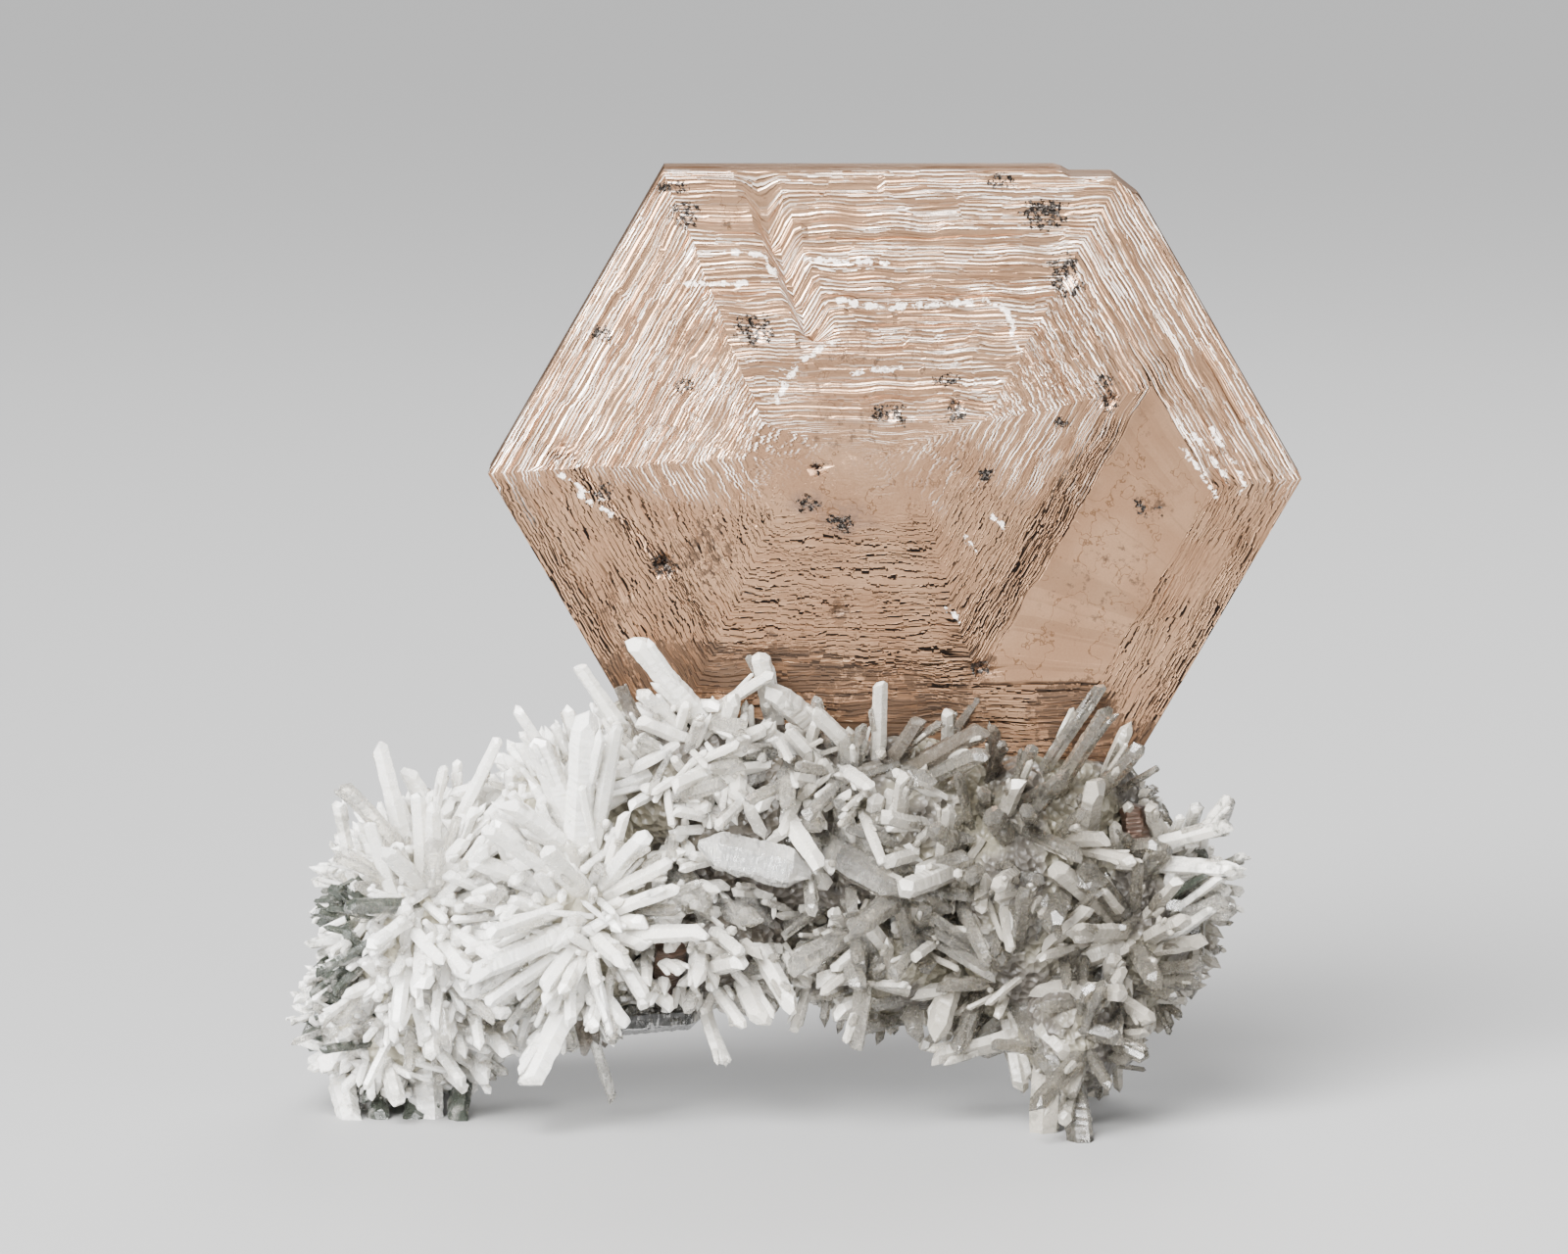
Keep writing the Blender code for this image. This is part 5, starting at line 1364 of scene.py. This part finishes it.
class SPECIMEN_quartz_settings(bpy.types.PropertyGroup):
    seed: bpy.props.IntProperty(name="Seed", description="How the small crystals stand", default=3)
    offshoots: bpy.props.IntVectorProperty(name="Offshoots", description="Fewest and most on a prism",
                                           size=2, default=(1, 3))
    glassy_share: number("Glassy share", "Share of the prisms that are see-through", 0.55, subtype="FACTOR")
    needle_density: number("Needles", "Needles for each stout filler", 5.0)
    druse_density: number("Druse", "Tiny crystals for each stout filler", 28.0)
    white: paint("White", "Bright quartz on the left", (0.98, 0.95, 0.885))
    # Partly the quartz's own grey, partly painted shade on the side away from the light.
    grey: paint("Grey", "Grey quartz on the right", (0.41, 0.38, 0.325))
    # Dark tint of clear prisms: painted shade that shows through them.
    shade_tint: paint("Smoky", "Smoky prisms at the plate's lower edge", (0.17, 0.14, 0.11))
    # Painted shade at the roots of the crystals, and one of the core's own colours.
    root: paint("Root", "Khaki quartz near the roots", (0.16, 0.145, 0.105))
    green: paint("Chlorite", "Green specks at the ends", (0.04, 0.052, 0.038))
    # Painted shade in the hollows between the crystals.
    hollow_shade: paint("Hollow", "Dark hollows between the crystals", (0.035, 0.028, 0.022))


class SPECIMEN_stage_settings(bpy.types.PropertyGroup):
    floor: paint("Floor", "Colour of the floor", (0.34, 0.34, 0.34))
    even: number("Even light", "Strength of the soft light that reaches the whole floor", 9.0)
    key: number("Key light", "Power of the main light", 12.0, unit="POWER")
    side: number("Side lights", "Power of the lights at the sides", 6.0, unit="POWER")
    sky: number("Sky", "Strength of the pale surroundings", 0.12)


class SPECIMEN_OT_stage(bpy.types.Operator):
    """Makes the floor, the lights and the camera"""

    bl_idname = "specimen.stage"
    bl_label = "Stage"

    def execute(self, context):
        settings = context.scene.specimen_stage
        bm = bmesh.new()
        bmesh.ops.create_circle(bm, cap_ends=True, segments=96, radius=6.0)
        mesh = bpy.data.meshes.new("floor")
        bm.to_mesh(mesh)
        bm.free()
        tree = Tree("pale_floor", Base_Color=colour(settings.floor), Roughness=0.6)
        mesh.materials.append(tree.material)
        floor = bpy.data.objects.new("floor", mesh)
        context.scene.collection.objects.link(floor)

        world = bpy.data.worlds.new("pale_world")
        world.use_nodes = True
        background = world.node_tree.nodes["Background"]
        background.inputs["Color"].default_value = (0.95, 0.97, 1.0, 1.0)
        background.inputs["Strength"].default_value = settings.sky
        context.scene.world = world

        aim = Vector((AIM[0], 0, height_of(AIM[1], 0))) * MILLIMETRE + OFFSET
        for name, kind, azimuth, elevation, distance, size, power in (
            ("even_light", "SUN", -24, 46, 0.9, 0.7, settings.even),
            ("key_light", "AREA", -24, 40, 0.9, 0.42, settings.key),
            ("left_light", "AREA", -42, 14, 0.9, 0.34, settings.side * 3.0),
            ("right_light", "AREA", 40, 14, 0.9, 0.3, settings.side * 0.8),
            ("back_light", "AREA", 160, 48, 0.9, 0.5, settings.side * 1.5),
        ):
            turn, rise = math.radians(azimuth), math.radians(elevation)
            level = math.cos(rise)
            way = Vector((math.sin(turn) * level, -math.cos(turn) * level, math.sin(rise)))
            light = bpy.data.lights.new(name, kind)
            light.energy = power
            setattr(light, "angle" if kind == "SUN" else "size", size)
            lamp = bpy.data.objects.new(name, light)
            lamp.location = aim + way * distance
            lamp.rotation_euler = way.to_track_quat("Z", "Y").to_euler()
            context.scene.collection.objects.link(lamp)

        camera = bpy.data.objects.new("camera", bpy.data.cameras.new("camera"))
        camera.data.sensor_width = SENSOR_WIDTH
        camera.data.lens = SENSOR_WIDTH * CAMERA_DISTANCE / FRAME_WIDTH
        back = Vector((0, -math.cos(VIEW_ELEVATION), math.sin(VIEW_ELEVATION)))
        camera.location = aim + back * CAMERA_DISTANCE * MILLIMETRE
        camera.rotation_euler = back.to_track_quat("Z", "Y").to_euler()
        context.scene.collection.objects.link(camera)
        context.scene.camera = camera
        return {"FINISHED"}


class SPECIMEN_OT_plate(bpy.types.Operator):
    """Makes the stepped pyrrhotite crystal"""

    bl_idname = "specimen.plate"
    bl_label = "Pyrrhotite plate"

    def execute(self, context):
        settings = context.scene.specimen_plate
        finished_piece(plate_mesh(settings), "pyrrhotite_plate", "pyrrhotite_crystal",
                       [plate_metal(settings)])
        return {"FINISHED"}


class SPECIMEN_OT_quartz(bpy.types.Operator):
    """Makes the quartz prisms, their offshoots, the needles, the druse and the core"""

    bl_idname = "specimen.quartz"
    bl_label = "Quartz"

    def execute(self, context):
        settings = context.scene.specimen_quartz
        finishes = [frosted_quartz(name, settings, *more) for name, *more in (
            # The third finish tints clear prisms dark as painted shade that shows through them.
            ("white_quartz", 0.3), ("glassy_quartz", 0.88), ("smoky_quartz_prisms", 0.7, settings.shade_tint),
            ("chlorite_quartz", 0.6, settings.green))]
        for make in (quartz_prisms, quartz_offshoots, quartz_sprays, quartz_needles, quartz_druse):
            finished_piece(make(settings), make.__name__, "quartz_cluster", finishes)
        finished_piece(quartz_core(settings), "quartz_core", "quartz_cluster",
                       [core_rock(settings)])
        return {"FINISHED"}


class SPECIMEN_OT_held_crystals(bpy.types.Operator):
    """Makes the clear crystals and the small brown ones"""

    bl_idname = "specimen.held_crystals"
    bl_label = "Held crystals"

    def execute(self, context):
        settings = context.scene.specimen_quartz
        brown = striated_pyrrhotite(context.scene.specimen_plate)
        for node, piece, slot, finish in (
            ("stout_clear_crystal", "stout_clear_quartz", "clear_quartz",
             clear_crystal("clear_quartz_finish", (0.97, 0.97, 0.95), 0.3, 0.8)),
            # The dark clear crystal's near-black tint is painted shade that shows through it.
            ("dark_clear_crystal", "dark_clear_quartz", "smoky_quartz",
             clear_crystal("shade_tinted_quartz_finish", (0.025, 0.025, 0.022), 0.12, 0.45)),
            ("small_pyrrhotite_crystal", "small_pyrrhotite", "dark_pyrrhotite", brown),
            ("brown_pyrrhotite_crystal", "brown_pyrrhotite", "dark_pyrrhotite", brown),
        ):
            finished_piece(held_crystal(node, settings), piece, node, [finish])
        return {"FINISHED"}


class SPECIMEN_PT_sidebar(bpy.types.Panel):
    """Shows the buttons that make the specimen's pieces, and the settings for them."""

    bl_label = "Specimen"
    bl_space_type = "VIEW_3D"
    bl_region_type = "UI"
    bl_category = "Specimen"

    def draw(self, context):
        for operator in OPERATORS:
            self.layout.operator(operator.bl_idname)
        for group_name in SETTINGS:
            group = getattr(context.scene, group_name)
            box = self.layout.box()
            for name in group.__annotations__:
                box.prop(group, name)


SETTINGS = {"specimen_plate": SPECIMEN_plate_settings, "specimen_quartz": SPECIMEN_quartz_settings,
            "specimen_stage": SPECIMEN_stage_settings}
OPERATORS = (SPECIMEN_OT_stage, SPECIMEN_OT_plate, SPECIMEN_OT_quartz, SPECIMEN_OT_held_crystals)
CLASSES = (*SETTINGS.values(), *OPERATORS, SPECIMEN_PT_sidebar)


def register():
    for made in CLASSES:
        bpy.utils.register_class(made)
    for name, made in SETTINGS.items():
        setattr(bpy.types.Scene, name, bpy.props.PointerProperty(type=made))


def unregister():
    for name in SETTINGS:
        delattr(bpy.types.Scene, name)
    for made in reversed(CLASSES):
        bpy.utils.unregister_class(made)


def main():
    # The offsets of noise_vector come from this seed; without one they change from run to run.
    noise.seed_set(NOISE_SEED)
    register()
    bpy.ops.specimen.stage()
    bpy.ops.specimen.plate()
    bpy.ops.specimen.quartz()
    bpy.ops.specimen.held_crystals()


if __name__ == "__main__":
    main()
